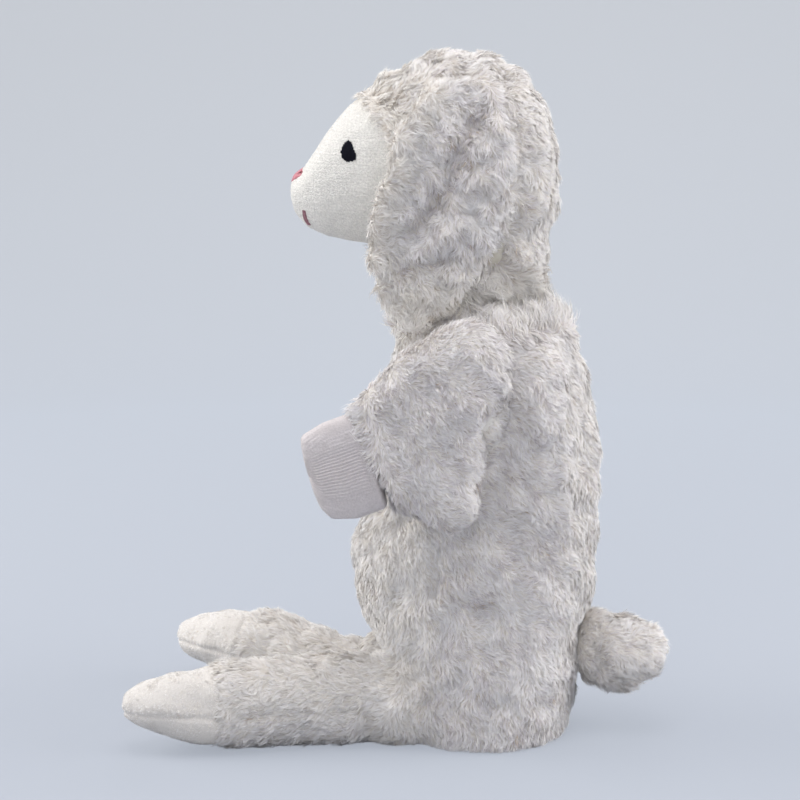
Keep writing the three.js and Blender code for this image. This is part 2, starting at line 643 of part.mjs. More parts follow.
// Where the tail turns: its root is a ball that nearly touches the back panel.
function tailPoint() {
  const i = TORSO_SECTIONS.findIndex((s) => s.z > TAIL_Z);
  const [a, b] = [TORSO_SECTIONS[i - 1], TORSO_SECTIONS[i]];
  const back = THREE.MathUtils.lerp(a.back, b.back, (TAIL_Z - a.z) / (b.z - a.z));
  return new THREE.Vector3(0, back + JOINT_GAP + TAIL_ROOT_RADIUS - TAIL_SET_BACK, TAIL_Z);
}

function makeTail() {
  const pivot = tailPoint();
  const section = (distance, half, width, inset, count) => {
    const centre = pivot.clone().addScaledVector(Y, distance);
    return ring(centre, X, Z, width - inset, half - inset, 2, count);
  };
  const form = (inset, count = FINE) => {
    const reach = TAIL_ROOT_RADIUS - inset;
    const rings = [0.98, 0.9, 0.7, 0.4, 0].map((share) => {
      const half = reach * Math.sqrt(1 - share * share) + inset;
      return section(-share * reach, half, half, inset, count);
    });
    for (const [at, full] of [[0.4, 0.96], [0.68, 1], [0.88, 0.76], [1, 0.36]]) {
      const distance = drawnIn(at * TAIL_LENGTH, 0, TAIL_LENGTH, inset);
      const [half, width] = [full * TAIL_HALF_HEIGHT, full * TAIL_HALF_WIDTH];
      rings.push(section(distance, half, width, at === 1 ? inset * 0.4 : inset, count));
    }
    return loft(rings);
  };
  // The cover is a bag: it is open where it is sewn to the back panel
  const radius = TAIL_MOUTH_RADIUS;
  const mouth = new THREE.CylinderGeometry(radius, radius, 2 * TAIL_ROOT_RADIUS, FINE);
  mouth.translate(0, pivot.y - TAIL_ROOT_RADIUS, TAIL_Z);
  piece("tail_cover", form(0).subtract(form(PLUSH_WALL)).subtract(solid(mouth)), plush);
  piece("tail_filling", form(PLUSH_WALL + SEAM_GAP, INNER_FINE), wool);
}

makeTorso();
makeNeck();
makeHead();
makeEars();
makeArm(1, "left", LEFT_ARM_DROOP_DEG);
makeArm(-1, "right", RIGHT_ARM_DROOP_DEG);
makeLeg(1, "left");
makeLeg(-1, "right");
makeTail();

// The frame's origin is under the middle of the puppet, on the surface that it sits on.
const model = new THREE.Group();
model.add(...parts);
const bounds = new THREE.Box3().setFromObject(model);
const middle = bounds.getCenter(new THREE.Vector3());
model.position.set(-middle.x, -middle.y, -bounds.min.z);

export default model;
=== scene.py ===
"""A sheep hand puppet in off-white plush, sitting with its legs stretched forward.

The puppet faces -Y, its left side is +X and +Z is up. Lengths are in metres, apart from the lists of places,
which are in millimetres of the part's own drawing. Each plush piece is a soft skin drawn round the frame's
solids, with the pile growing out of it as fine strands."""

import json
import math
from dataclasses import dataclass

import bmesh
import bpy
import numpy as np
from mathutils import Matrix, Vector
from mathutils.bvhtree import BVHTree


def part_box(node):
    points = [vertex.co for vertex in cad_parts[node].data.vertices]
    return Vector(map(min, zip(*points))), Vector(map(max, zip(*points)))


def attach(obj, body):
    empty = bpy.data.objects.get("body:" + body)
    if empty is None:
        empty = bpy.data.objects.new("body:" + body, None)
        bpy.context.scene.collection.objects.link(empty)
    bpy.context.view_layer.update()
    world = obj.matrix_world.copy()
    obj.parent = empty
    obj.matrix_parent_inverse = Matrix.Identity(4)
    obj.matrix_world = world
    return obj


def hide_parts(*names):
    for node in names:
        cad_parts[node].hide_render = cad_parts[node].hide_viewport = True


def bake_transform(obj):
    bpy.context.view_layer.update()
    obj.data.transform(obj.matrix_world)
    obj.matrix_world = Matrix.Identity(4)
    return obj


MM = 0.001
SEED = 20
PILE_SHARE = 1.0

SIDES = ((1, "left"), (-1, "right"))  # the sign of X and the name of each side

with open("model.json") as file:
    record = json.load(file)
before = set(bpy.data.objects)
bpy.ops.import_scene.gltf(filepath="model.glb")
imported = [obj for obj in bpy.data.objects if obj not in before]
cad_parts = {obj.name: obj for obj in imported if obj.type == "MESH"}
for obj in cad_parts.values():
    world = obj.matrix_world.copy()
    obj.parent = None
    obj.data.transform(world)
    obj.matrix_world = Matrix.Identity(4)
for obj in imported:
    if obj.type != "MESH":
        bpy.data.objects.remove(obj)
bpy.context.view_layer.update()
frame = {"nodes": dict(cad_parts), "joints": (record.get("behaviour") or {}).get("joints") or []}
rng = np.random.default_rng(SEED)


def joint_place(name):
    """Where a joint turns."""
    return np.array(next(j for j in frame["joints"] if j["name"] == name)["pos_m"])


NECK_Y = -1 * MM  # the neck's place in the drawing, which fixes how far the frame is shifted from it
SHIFT = joint_place("neck_turn")[1] - NECK_Y

# The photograph's view: a little behind the puppet's left side, from a step away
CAMERA_AZIMUTH = 96.5
CAMERA_TARGET = Vector((0, -0.001, 0.1425))
CAMERA_DISTANCE = 1.0
CAMERA_HEIGHT = 0.31
CAMERA_LENS_MM = 106.0

# Places in the drawing
FACE_CENTRE = (-69.5, 239.5)
FACE_RADIUS = 38.5
GUSSET_HALF = 7.5
SHOULDER = (3, 150)
LEG_SPLAY = math.radians(18)
CAP_FROM = 63.7  # hip to the seam of the toe cap
LEG_SEAM_Z = 16.5

# Colours of the strands, from the darkest to the lightest, of a warm and of a cool pile
WARM = (
    (0.0, (0.66, 0.54, 0.42)),
    (0.14, (0.74, 0.68, 0.61)),
    (0.42, (0.89, 0.86, 0.80)),
    (0.7, (0.96, 0.935, 0.885)),
    (0.98, (0.99, 0.97, 0.94)),
)
COOL = (
    (0.02, (0.62, 0.57, 0.585)),
    (0.2, (0.74, 0.70, 0.715)),
    (0.46, (0.89, 0.86, 0.87)),
    (0.74, (0.955, 0.935, 0.94)),
    (1.0, (0.99, 0.98, 0.975)),
)


def lerp(a, b, t):
    return a + (b - a) * t


def smooth_step(low, high, x):
    t = np.clip((x - low) / (high - low), 0, 1)
    return t * t * (3 - 2 * t)


def unit(v):
    length = np.linalg.norm(v, axis=-1, keepdims=True)
    return v / np.maximum(length, 1e-9)


def bell(x, width):
    """1 where x is 0, and next to nothing past two widths."""
    return np.exp(-((x / width) ** 2))


def turned_to(way, other, share):
    """Directions that go over to another one by a share for each point."""
    return lerp(np.array(way), np.array(other), share[:, None])


def at(x, y, z):
    """A place in the drawing, in the frame's metres."""
    return np.array([x * MM, y * MM + SHIFT, z * MM])


def drawn(points):
    """Frame points as millimetres of the drawing."""
    return (points - np.array([0, SHIFT, 0])) / MM


class SmoothNoise:
    """Soft noise in space: a sum of sine waves in random directions, about -1 to 1."""

    def __init__(self, wavelength, waves=14):
        directions = unit(rng.normal(size=(waves, 3)))
        lengths = wavelength * rng.uniform(0.6, 1.7, (waves, 1))
        self.k = directions * 2 * math.pi / lengths
        self.phase = rng.uniform(0, 2 * math.pi, waves)
        self.scale = math.sqrt(2 / waves)

    def __call__(self, points):
        return np.sin(points @ self.k.T + self.phase).sum(axis=1) * self.scale


# Meshes


def add_object(name, mesh):
    piece = bpy.data.objects.new(name, mesh)
    bpy.context.collection.objects.link(piece)
    return piece


def new_mesh(name, vertices, faces):
    mesh = bpy.data.meshes.new(name)
    mesh.from_pydata([tuple(v) for v in vertices], [], [tuple(f) for f in faces])
    mesh.update()
    mesh.shade_smooth()
    return add_object(name, mesh)


def node_geometry(nodes):
    """The CAD nodes' vertices and faces together."""
    vertices, faces = [], []
    for node in nodes:
        mesh = frame["nodes"][node].data
        start = len(vertices)
        vertices += [v.co.copy() for v in mesh.vertices]
        faces += [[start + i for i in p.vertices] for p in mesh.polygons]
    return vertices, faces


def tree_of(nodes):
    return BVHTree.FromPolygons(*node_geometry(nodes))


REACH = 0.3  # how far out the rays start that find the outer surface
STUFFING = 3.0  # pressure inside the skins that are stuffed
SWELL_FRAMES = 20
MISSED = 0.005  # how far out the skin lies where a ray finds no node
UP = Vector((0, 0, 1))


def outer_point(tree, centre, direction, fallback):
    """The outermost point of the nodes that is seen from outside along a direction."""
    hit = tree.ray_cast(centre + direction * REACH, -direction, REACH)[0]
    return hit if hit is not None else centre + direction * fallback


def ring_faces(rings, segments, start=0, inwards=False):
    """Faces between rings of points that follow each other."""
    faces = []
    for r in range(rings - 1):
        a, b = start + r * segments, start + (r + 1) * segments
        for i in range(segments):
            j = (i + 1) % segments
            faces.append((a + i, b + i, b + j, a + j) if inwards else (a + i, a + j, b + j, b + i))
    return faces


def drape(name, nodes, centres, axis, around, segments):
    """A closed skin round some nodes. Its rings lie across an axis."""
    tree = tree_of(nodes)
    u = around.normalized()
    v = axis.cross(u).normalized()
    vertices, faces = [], ring_faces(len(centres), segments)
    for centre in centres:
        for i in range(segments):
            angle = 2 * math.pi * (i + 0.5) / segments
            direction = u * math.cos(angle) + v * math.sin(angle)
            vertices.append(outer_point(tree, centre, direction, MISSED))
    top = (len(centres) - 1) * segments
    for centre, direction, start in ((centres[0], -axis, 0), (centres[-1], axis, top)):
        vertices.append(outer_point(tree, centre, direction, 0.0))
        pole = len(vertices) - 1
        for i in range(segments):
            j = (i + 1) % segments
            faces.append((pole, start + j, start + i) if start == 0 else (pole, start + i, start + j))
    return new_mesh(name, vertices, faces)


def upright_skin(name, nodes, y, low, high, steps, segments):
    """A closed skin round some nodes, with level rings between two heights."""
    centres = [Vector((0, y, lerp(low, high, i / steps))) for i in range(steps + 1)]
    return drape(name, nodes, centres, UP, Vector((1, 0, 0)), segments)


def hull(name, nodes):
    """The convex skin round some nodes."""
    shape = bmesh.new()
    for place in node_geometry(nodes)[0]:
        shape.verts.new(place)
    result = bmesh.ops.convex_hull(shape, input=shape.verts)
    loose = [e for e in result["geom_interior"] if isinstance(e, bmesh.types.BMVert)]
    bmesh.ops.delete(shape, geom=loose, context="VERTS")
    mesh = bpy.data.meshes.new(name)
    shape.to_mesh(mesh)
    shape.free()
    return add_object(name, mesh)


def blob(centre, radii, tilt=0.0):
    """A rounded swelling, to be joined to a skin. It leans by tilt about X."""
    shape = bmesh.new()
    bmesh.ops.create_icosphere(shape, subdivisions=4, radius=1.0)
    mesh = bpy.data.meshes.new("blob")
    shape.to_mesh(mesh)
    shape.free()
    piece = add_object("blob", mesh)
    co = points_of(piece) * np.array(radii) * MM
    cos, sin = math.cos(tilt), math.sin(tilt)
    turned = np.stack([co[:, 0], co[:, 1] * cos - co[:, 2] * sin, co[:, 1] * sin + co[:, 2] * cos], axis=1)
    set_points(piece, turned + at(*centre))
    return piece


def join(piece, others):
    """The pieces as one mesh, still overlapping until it is remeshed."""
    shape = bmesh.new()
    for part in [piece, *others]:
        shape.from_mesh(part.data)
    shape.to_mesh(piece.data)
    shape.free()
    for part in others:
        mesh = part.data
        bpy.data.objects.remove(part)
        bpy.data.meshes.remove(mesh)
    return piece


def apply_modifiers(piece):
    bpy.context.view_layer.update()
    evaluated = piece.evaluated_get(bpy.context.evaluated_depsgraph_get())
    mesh = bpy.data.meshes.new_from_object(evaluated)
    piece.modifiers.clear()
    old = piece.data
    piece.data = mesh
    mesh.name = piece.name
    bpy.data.meshes.remove(old)
    mesh.shade_smooth()
    return piece


def modify(piece, kind, **settings):
    """Adds a modifier with its settings, still to be applied."""
    change = piece.modifiers.new(kind, kind)
    for name, value in settings.items():
        setattr(change, name, value)
    return change


def soften(piece, rounds):
    modify(piece, "SMOOTH", factor=0.5, iterations=rounds)
    return apply_modifiers(piece)


def remesh(piece, voxel, smoothing):
    """Even faces of about one size, with hard edges softened as cloth softens them."""
    modify(piece, "REMESH", mode="VOXEL", voxel_size=voxel)
    return soften(piece, smoothing)


def subdivide(piece):
    modify(piece, "SUBSURF", levels=1, render_levels=1)
    return apply_modifiers(piece)


def points_of(piece):
    co = np.empty(len(piece.data.vertices) * 3)
    piece.data.vertices.foreach_get("co", co)
    return co.reshape(-1, 3)


def normals_of(piece):
    normals = np.empty(len(piece.data.vertices) * 3)
    piece.data.vertices.foreach_get("normal", normals)
    return normals.reshape(-1, 3)


def set_points(piece, co):
    piece.data.vertices.foreach_set("co", co.astype(np.float32).ravel())
    piece.data.update()


def push_out(piece, amount):
    """Moves each point along its normal."""
    set_points(piece, points_of(piece) + normals_of(piece) * amount[:, None])


def swell(piece, most, pinned):
    """Stuffs a closed skin by cloth simulation. No point moves further than most, and pinned ones stay."""
    start = points_of(piece)
    cloth = modify(piece, "CLOTH")
    cloth.settings.quality = 5
    cloth.settings.use_pressure = True
    cloth.settings.uniform_pressure_force = STUFFING
    cloth.settings.effector_weights.gravity = 0
    cloth.collision_settings.use_collision = False
    group = piece.vertex_groups.new(name="seams")
    group.add([int(i) for i in np.nonzero(pinned)[0]], 1.0, "REPLACE")
    cloth.settings.vertex_group_mass = group.name
    for number in range(1, SWELL_FRAMES + 1):
        bpy.context.scene.frame_set(number)
    apply_modifiers(piece)
    bpy.context.scene.frame_set(1)
    piece.vertex_groups.clear()
    moved = points_of(piece) - start
    length = np.linalg.norm(moved, axis=1, keepdims=True)
    set_points(piece, start + moved * np.minimum(1, most / np.maximum(length, 1e-9)))


def distance_to_path(places, path):
    """Distance of each place, seen from the side, to a polyline of (y, z)."""
    best = np.full(len(places), 1e9)
    path = np.array(path, dtype=float)
    for a, b in zip(path[:-1], path[1:]):
        d = b - a
        t = np.clip((places - a) @ d / (d @ d), 0, 1)
        best = np.minimum(best, np.linalg.norm(places - (a + t[:, None] * d), axis=1))
    return best


def fold(piece, folds, side):
    """Ridges, and creases where the height is under 0, along paths seen from one side of the puppet."""
    places = drawn(points_of(piece))[:, 1:]
    amount = np.zeros(len(places))
    for path, height, width in folds:
        amount += height * bell(distance_to_path(places, path), width)
    amount *= smooth_step(0.05, 0.45, normals_of(piece)[:, 0] * side)
    push_out(piece, amount * MM)


def rumple(piece, height, wavelength, where=None):
    """Soft unevenness all over a skin."""
    co = points_of(piece)
    amount = height * SmoothNoise(wavelength)(co)
    if where is not None:
        amount *= where(co)
    push_out(piece, amount)


def keep_faces(piece, keep):
    """Deletes the faces whose centres aren't kept."""
    shape = bmesh.new()
    shape.from_mesh(piece.data)
    shape.faces.ensure_lookup_table()
    centres = np.array([f.calc_center_median() for f in shape.faces])
    kept = keep(centres)
    bmesh.ops.delete(shape, geom=[f for f, k in zip(shape.faces, kept) if not k], context="FACES")
    shape.to_mesh(piece.data)
    shape.free()


def slice_off(piece, place, normal):
    """Cuts a skin on a plane and leaves away what lies on the normal's side."""
    shape = bmesh.new()
    shape.from_mesh(piece.data)
    geometry = [*shape.verts, *shape.edges, *shape.faces]
    bmesh.ops.bisect_plane(shape, geom=geometry, plane_co=place, plane_no=normal, clear_outer=True)
    shape.to_mesh(piece.data)
    shape.free()


def thicken(piece, thickness):
    """Gives an open skin its thickness, inwards."""
    modify(piece, "SOLIDIFY", thickness=thickness, offset=-1)
    return apply_modifiers(piece)


def twin(piece, name):
    return add_object(name, piece.data.copy())


# Materials


def material(name, roughness=0.9, sheen=0.0):
    made = bpy.data.materials.new(name)
    made.use_nodes = True
    shader = made.node_tree.nodes["Principled BSDF"]
    shader.inputs["Roughness"].default_value = roughness
    shader.inputs["Sheen Weight"].default_value = sheen
    shader.inputs["Sheen Roughness"].default_value = 0.45
    shader.inputs["Specular IOR Level"].default_value = 0.2
    return made, made.node_tree, shader


def add_node(tree, kind, inputs=(), **settings):
    """A node with its settings. Each of inputs is a socket with a value or with the output that feeds it."""
    node = tree.nodes.new("ShaderNode" + kind)
    for name, value in settings.items():
        setattr(node, name, value)
    for socket, value in inputs:
        if isinstance(value, bpy.types.NodeSocket):
            tree.links.new(value, node.inputs[socket])
        else:
            node.inputs[socket].default_value = value
    return node


def ramp(tree, stops, source):
    """The colour that a value picks from some stops."""
    node = add_node(tree, "ValToRGB", [("Fac", source)])
    elements = node.color_ramp.elements
    while len(elements) < len(stops):
        elements.new(0.5)
    for element, (place, color) in zip(elements, stops):
        element.position = place
        element.color = (*color, 1)
    return node.outputs["Color"]


TONES = 32  # columns of strand colour in the pile's map, half of them warm and half cool
PILE_MAP = "OFBake"
LIGHT_THROUGH = 0.15  # share of the light that a strand lets through
# Painted shade in the pile: strands darker at their roots than at their tips
ROOT_SHADE_TO_TIP = ((0.0, (0.84, 0.79, 0.76)), (0.45, (0.97, 0.96, 0.955)), (1.0, (1, 1, 1)))
KNIT_SHARE = 0.35  # height of a knit's rows and columns beside its grain


def pile_material():
    """Colour by the strand's tone across the map, with painted shade that deepens towards the roots."""
    made, tree, shader = material("pile", roughness=0.8, sheen=0.35)
    uv = add_node(tree, "UVMap", uv_map=PILE_MAP)
    split = add_node(tree, "SeparateXYZ", [(0, uv.outputs["UV"])])
    warm = [(place / 2, color) for place, color in WARM]
    cool = [(0.5 + place / 2, color) for place, color in COOL]
    colors = [
        ("Factor", 1.0),
        ("A", ramp(tree, warm + cool, split.outputs["X"])),
        ("B", ramp(tree, ROOT_SHADE_TO_TIP, split.outputs["Y"])),
    ]
    color = add_node(tree, "Mix", colors, data_type="RGBA", blend_type="MULTIPLY").outputs["Result"]
    tree.links.new(color, shader.inputs["Base Color"])
    through = add_node(tree, "BsdfTranslucent", [("Color", color)])
    shares = [("Fac", LIGHT_THROUGH), (1, shader.outputs["BSDF"]), (2, through.outputs["BSDF"])]
    both = add_node(tree, "MixShader", shares)
    tree.links.new(both.outputs["Shader"], tree.nodes["Material Output"].inputs["Surface"])
    return made


def cloth_material(name, low, high, scale, bump, knit=(), roughness=0.9, sheen=0.2):
    """A mottled cloth with a fine grain. knit gives the spacing of its columns and rows of stitches."""
    made, tree, shader = material(name, roughness, sheen)
    place = add_node(tree, "TexCoord").outputs["Object"]
    noise = add_node(tree, "TexNoise", [("Scale", scale), ("Detail", 6), ("Vector", place)])
    height = noise.outputs["Fac"]
    tree.links.new(ramp(tree, [(0.3, low), (0.7, high)], height), shader.inputs["Base Color"])
    for axis, spacing in zip("YZ", knit):
        rows = [("Scale", math.pi / 10 / spacing), ("Distortion", 8.0), ("Detail Scale", 2.0)]
        wave = add_node(tree, "TexWave", [*rows, ("Vector", place)], bands_direction=axis)
        terms = [(0, wave.outputs["Fac"]), (1, KNIT_SHARE), (2, height)]
        height = add_node(tree, "Math", terms, operation="MULTIPLY_ADD").outputs[0]
    grain = add_node(tree, "Bump", [("Strength", 0.6), ("Distance", bump), ("Height", height)])
    tree.links.new(grain.outputs["Normal"], shader.inputs["Normal"])
    return made


MATERIALS = {
    "pile": pile_material(),
    "backing": cloth_material("backing", (0.80, 0.76, 0.70), (0.88, 0.85, 0.80), 900, 0.0004),
    "face": cloth_material(
        "face_knit", (0.66, 0.638, 0.595), (0.88, 0.855, 0.80), 1100, 0.0006, knit=(0.001, 0.0012)
    ),
    "paw": cloth_material("paw_knit", (0.61, 0.565, 0.56), (0.70, 0.65, 0.645), 1200, 0.0004),
    "velour": cloth_material("velour", (0.68, 0.645, 0.60), (0.76, 0.725, 0.68), 1600, 0.0003, sheen=0.4),
    "lining": cloth_material("lining", (0.74, 0.71, 0.66), (0.80, 0.77, 0.72), 700, 0.0003),
    "wool": cloth_material("wool", (0.70, 0.65, 0.54), (0.80, 0.76, 0.66), 260, 0.001),
    "black": cloth_material(
        "black_thread", (0.002, 0.002, 0.006), (0.006, 0.006, 0.014), 900, 0.0001, sheen=0
    ),
    "pink": cloth_material("pink_thread", (0.54, 0.20, 0.235), (0.68, 0.33, 0.36), 900, 0.0001),
    # The mouth's thread: its own pink, darkened by painted shade of the hollow between its threads
    "mauve": cloth_material("mauve_thread", (0.26, 0.13, 0.15), (0.42, 0.22, 0.25), 900, 0.0001),
}


def paint(piece, name):
    piece.data.materials.clear()
    piece.data.materials.append(MATERIALS[name])


def wear(piece, look, body):
    """The piece gets its material and moves with a body of the frame."""
    paint(piece, look)
    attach(piece, body)


# Pile


@dataclass
class Coat:
    """Where and how the strands of one skin grow. Flow and the last four are functions of the points."""

    flow: object  # direction that the pile is brushed in
    length: float = 0.0046
    density: float = 3.4  # strands for each square millimetre
    width: float = 0.00036
    lift: float = 0.7  # how upright a strand stands, 0 to 1
    wild: float = 0.7  # how unevenly the strands stand, 0 to 1
    swirl: float = 0.35  # how much their direction wanders, in radians
    tuft: float = 0.0014  # spacing of the tufts that strands lean into
    where: object = None  # share of the strands that grow at each point
    tone: object = None  # added to the strands' lightness
    cool: object = None  # share of the strands that are cool, half of them where it isn't given
    trim: object = None  # share of the length


STEPS = (0.0, 0.5, 1.0)  # places along a strand where its ribbon has a row
ROOT_DEPTH = 0.0003  # how far below the skin a strand starts
LOWEST = 0.0002  # height over the floor that no strand goes under
MOST_STRANDS = 60000  # in one piece
MEAN_TONE = 0.68


def surface_samples(piece, density):
    """Random points over a skin with their normals, evenly by area."""
    mesh = piece.data
    mesh.calc_loop_triangles()
    count = len(mesh.loop_triangles)
    corners = np.empty(count * 3, dtype=np.int64)
    mesh.loop_triangles.foreach_get("vertices", corners)
    corners = corners.reshape(-1, 3)
    co, normals = points_of(piece), normals_of(piece)
    a, b, c = co[corners[:, 0]], co[corners[:, 1]], co[corners[:, 2]]
    area = np.linalg.norm(np.cross(b - a, c - a), axis=1) / 2
    total = int(area.sum() / MM**2 * density * PILE_SHARE)
    picked = rng.choice(count, total, p=area / area.sum())
    r1, r2 = np.sqrt(rng.random(total)), rng.random(total)
    weights = np.stack([1 - r1, r1 * (1 - r2), r1 * r2], axis=1)[:, :, None]
    points = (co[corners[picked]] * weights).sum(axis=1)
    return points, unit((normals[corners[picked]] * weights).sum(axis=1))


def tufts(points, spacing):
    """The tuft that each strand belongs to, from cells of a warped grid, and the tufts' middles."""
    warp = np.stack([SmoothNoise(3.5 * spacing, 8)(points) for _ in range(3)], axis=1)
    cells = np.floor(points / spacing + 0.6 * warp).astype(np.int64)
    cells -= cells.min(axis=0)
    key = (cells[:, 0] * 4096 + cells[:, 1]) * 4096 + cells[:, 2]
    _, index = np.unique(key, return_inverse=True)
    count = index.max() + 1
    members = np.bincount(index, minlength=count)
    sums = [np.bincount(index, weights=points[:, k], minlength=count) for k in range(3)]
    return index, np.stack(sums, axis=1) / members[:, None]


def strand_mesh(name, vertices, shading, column):
    """The ribbons of some strands as one mesh, with their shading normals and their map."""
    count, per = vertices.shape[:2]
    start = np.arange(count)[:, None] * per
    quads = [start + np.array([2 * i + 1, 2 * i, 2 * i + 2, 2 * i + 3]) for i in range(len(STEPS) - 2)]
    tip = start + np.array([per - 2, per - 3, per - 1])
    loops = np.concatenate([*quads, tip], axis=1).ravel()
    sizes = np.tile([4] * (len(STEPS) - 2) + [3], count)
    mesh = bpy.data.meshes.new(name)
    mesh.vertices.add(count * per)
    mesh.vertices.foreach_set("co", vertices.astype(np.float32).ravel())
    mesh.loops.add(len(loops))
    mesh.loops.foreach_set("vertex_index", loops.astype(np.int32))
    mesh.polygons.add(len(sizes))
    starts = np.concatenate([[0], np.cumsum(sizes)[:-1]])
    mesh.polygons.foreach_set("loop_start", starts.astype(np.int32))
    mesh.polygons.foreach_set("loop_total", sizes.astype(np.int32))
    mesh.update()
    mesh.shade_smooth()
    u0, u1 = (column + 0.25) / TONES, (column + 0.75) / TONES
    v = [0.03 + 0.94 * t for t in STEPS]
    corner_u, corner_v = [], []
    for i in range(len(STEPS) - 2):
        corner_u += [u0, u1, u1, u0]
        corner_v += [v[i], v[i], v[i + 1], v[i + 1]]
    corner_u += [u0, u1, (u0 + u1) / 2]
    corner_v += [v[-2], v[-2], v[-1]]
    uv = np.stack([np.stack(corner_u, axis=1), np.tile(corner_v, (count, 1))], axis=2)
    layer = mesh.uv_layers.new(name=PILE_MAP)
    layer.data.foreach_set("uv", uv.astype(np.float32).ravel())
    normal = mesh.attributes.new("custom_normal", "FLOAT_VECTOR", "POINT")
    normal.data.foreach_set("vector", shading.astype(np.float32).ravel())
    return mesh


def grow(name, skin, coat, settle):
    """Grows the strands of one skin as ribbons that taper to a point. settle makes a piece move."""
    points, normals = surface_samples(skin, coat.density)
    if coat.where is not None:
        keep = rng.random(len(points)) < coat.where(points, normals)
        points, normals = points[keep], normals[keep]
    count = len(points)
    index, middles = tufts(points, coat.tuft)
    groups = len(middles)

    def each(spread):
        """One random value for each tuft, handed to its strands."""
        return rng.normal(0, spread, groups)[index]

    wild = coat.wild
    flow = coat.flow(points)
    flow = unit(flow - normals * (flow * normals).sum(axis=1, keepdims=True))
    side = np.cross(normals, flow)
    swirl = coat.swirl * (SmoothNoise(0.013)(points) + 0.5 * SmoothNoise(0.005)(points))
    swirl += wild * (each(0.35) + rng.normal(0, 0.2, count))
    flow = flow * np.cos(swirl)[:, None] + side * np.sin(swirl)[:, None]
    side = np.cross(normals, flow)
    length = coat.length * rng.uniform(0.8, 1.12, count)
    length *= 1 + wild * (0.14 * SmoothNoise(0.009)(points) + each(0.1))
    if coat.trim is not None:
        length = length * coat.trim(points)
    lift = coat.lift + wild * (0.2 * SmoothNoise(0.008)(points) + each(0.13) + rng.normal(0, 0.08, count))
    lift = np.clip(lift, 0.08, 1.4)
    curl = wild * (each(0.14) + rng.normal(0, 0.06, count))
    width = coat.width * rng.uniform(0.7, 1.25, count)
    roll = rng.normal(0, 0.4, count)
    pull = (middles[index] - points) * 0.5
    across = side * np.cos(roll)[:, None] + normals * np.sin(roll)[:, None]
    leaning = each(0.22) + rng.normal(0, 0.16, count)
    tilt = normals + side * leaning[:, None] + flow * each(0.12)[:, None]

    rows, shades = [], []
    for t in STEPS:
        rise = lift * (t - 0.5 * t * t)
        run = t * (1 - 0.25 * lift)
        centre = (
            points
            - normals * ROOT_DEPTH
            + flow * (length * run)[:, None]
            + normals * (length * rise)[:, None]
            + side * (length * curl * math.sin(math.pi * t * 1.3))[:, None]
            + pull * t * t
        )
        climb = lift * (1 - t)
        tangent = unit(flow * (1 - 0.25 * lift)[:, None] + normals * climb[:, None])
        facing = unit(tilt - tangent * (tilt * tangent).sum(axis=1, keepdims=True))
        half = width[:, None] * 0.5 * (1 - 0.3 * t)
        if t < 1:
            rows += [centre - across * half, centre + across * half]
            shades += [facing, facing]
        else:
            rows.append(centre)
            shades.append(facing)
    vertices = np.stack(rows, axis=1)
    shading = np.stack(shades, axis=1)
    vertices[:, :, 2] = np.maximum(vertices[:, :, 2], LOWEST)

    tone = MEAN_TONE + 0.07 * SmoothNoise(0.02)(points) + 0.11 * SmoothNoise(0.005)(points) + each(0.16)
    tone += rng.normal(0, 0.13, count)
    if coat.tone is not None:
        tone = tone + coat.tone(points)
    cool = 0.5 if coat.cool is None else coat.cool(points)
    half = TONES // 2
    column = np.clip((tone * half).astype(int), 0, half - 1)
    column += half * (rng.random(count) < cool)

    parts = max(1, math.ceil(count / MOST_STRANDS))
    for number, chosen in enumerate(np.array_split(np.argsort(points[:, 2]), parts)):
        label = name if parts == 1 else f"{name}_{number + 1}"
        mesh = strand_mesh(label, vertices[chosen], shading[chosen], column[chosen])
        piece = add_object(label, mesh)
        paint(piece, "pile")
        settle(piece)


def riding(body):
    return lambda piece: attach(piece, body)


def brushed(x, y, z):
    """A pile brushed one way all over."""
    return lambda points: np.tile([float(x), float(y), float(z)], (len(points), 1))


# Camera, light and backdrop

PAPER = (0.405, 0.426, 0.467)
# Light painted on the paper as a glow that only the camera sees, from near the puppet outwards, where it
# starts and ends, and how much of it shows
PAPER_PAINTED_GLOW = ((0.0, (0.59, 0.638, 0.727)), (0.5, (0.66, 0.716, 0.804)), (1.0, (0.672, 0.70, 0.737)))
GLOW_FROM, GLOW_TO = 0.15, 1.5
GLOW_SHARE = 0.6


def make_camera():
    data = bpy.data.cameras.new("camera")
    data.lens = CAMERA_LENS_MM
    data.clip_start = 0.01
    camera = add_object("camera", data)
    azimuth = math.radians(CAMERA_AZIMUTH)
    back = Vector((math.sin(azimuth), -math.cos(azimuth), 0))
    camera.location = CAMERA_TARGET + back * CAMERA_DISTANCE
    camera.location.z = CAMERA_HEIGHT
    camera.rotation_mode = "QUATERNION"
    camera.rotation_quaternion = (CAMERA_TARGET - camera.location).to_track_quat("-Z", "Y")
    bpy.context.scene.camera = camera


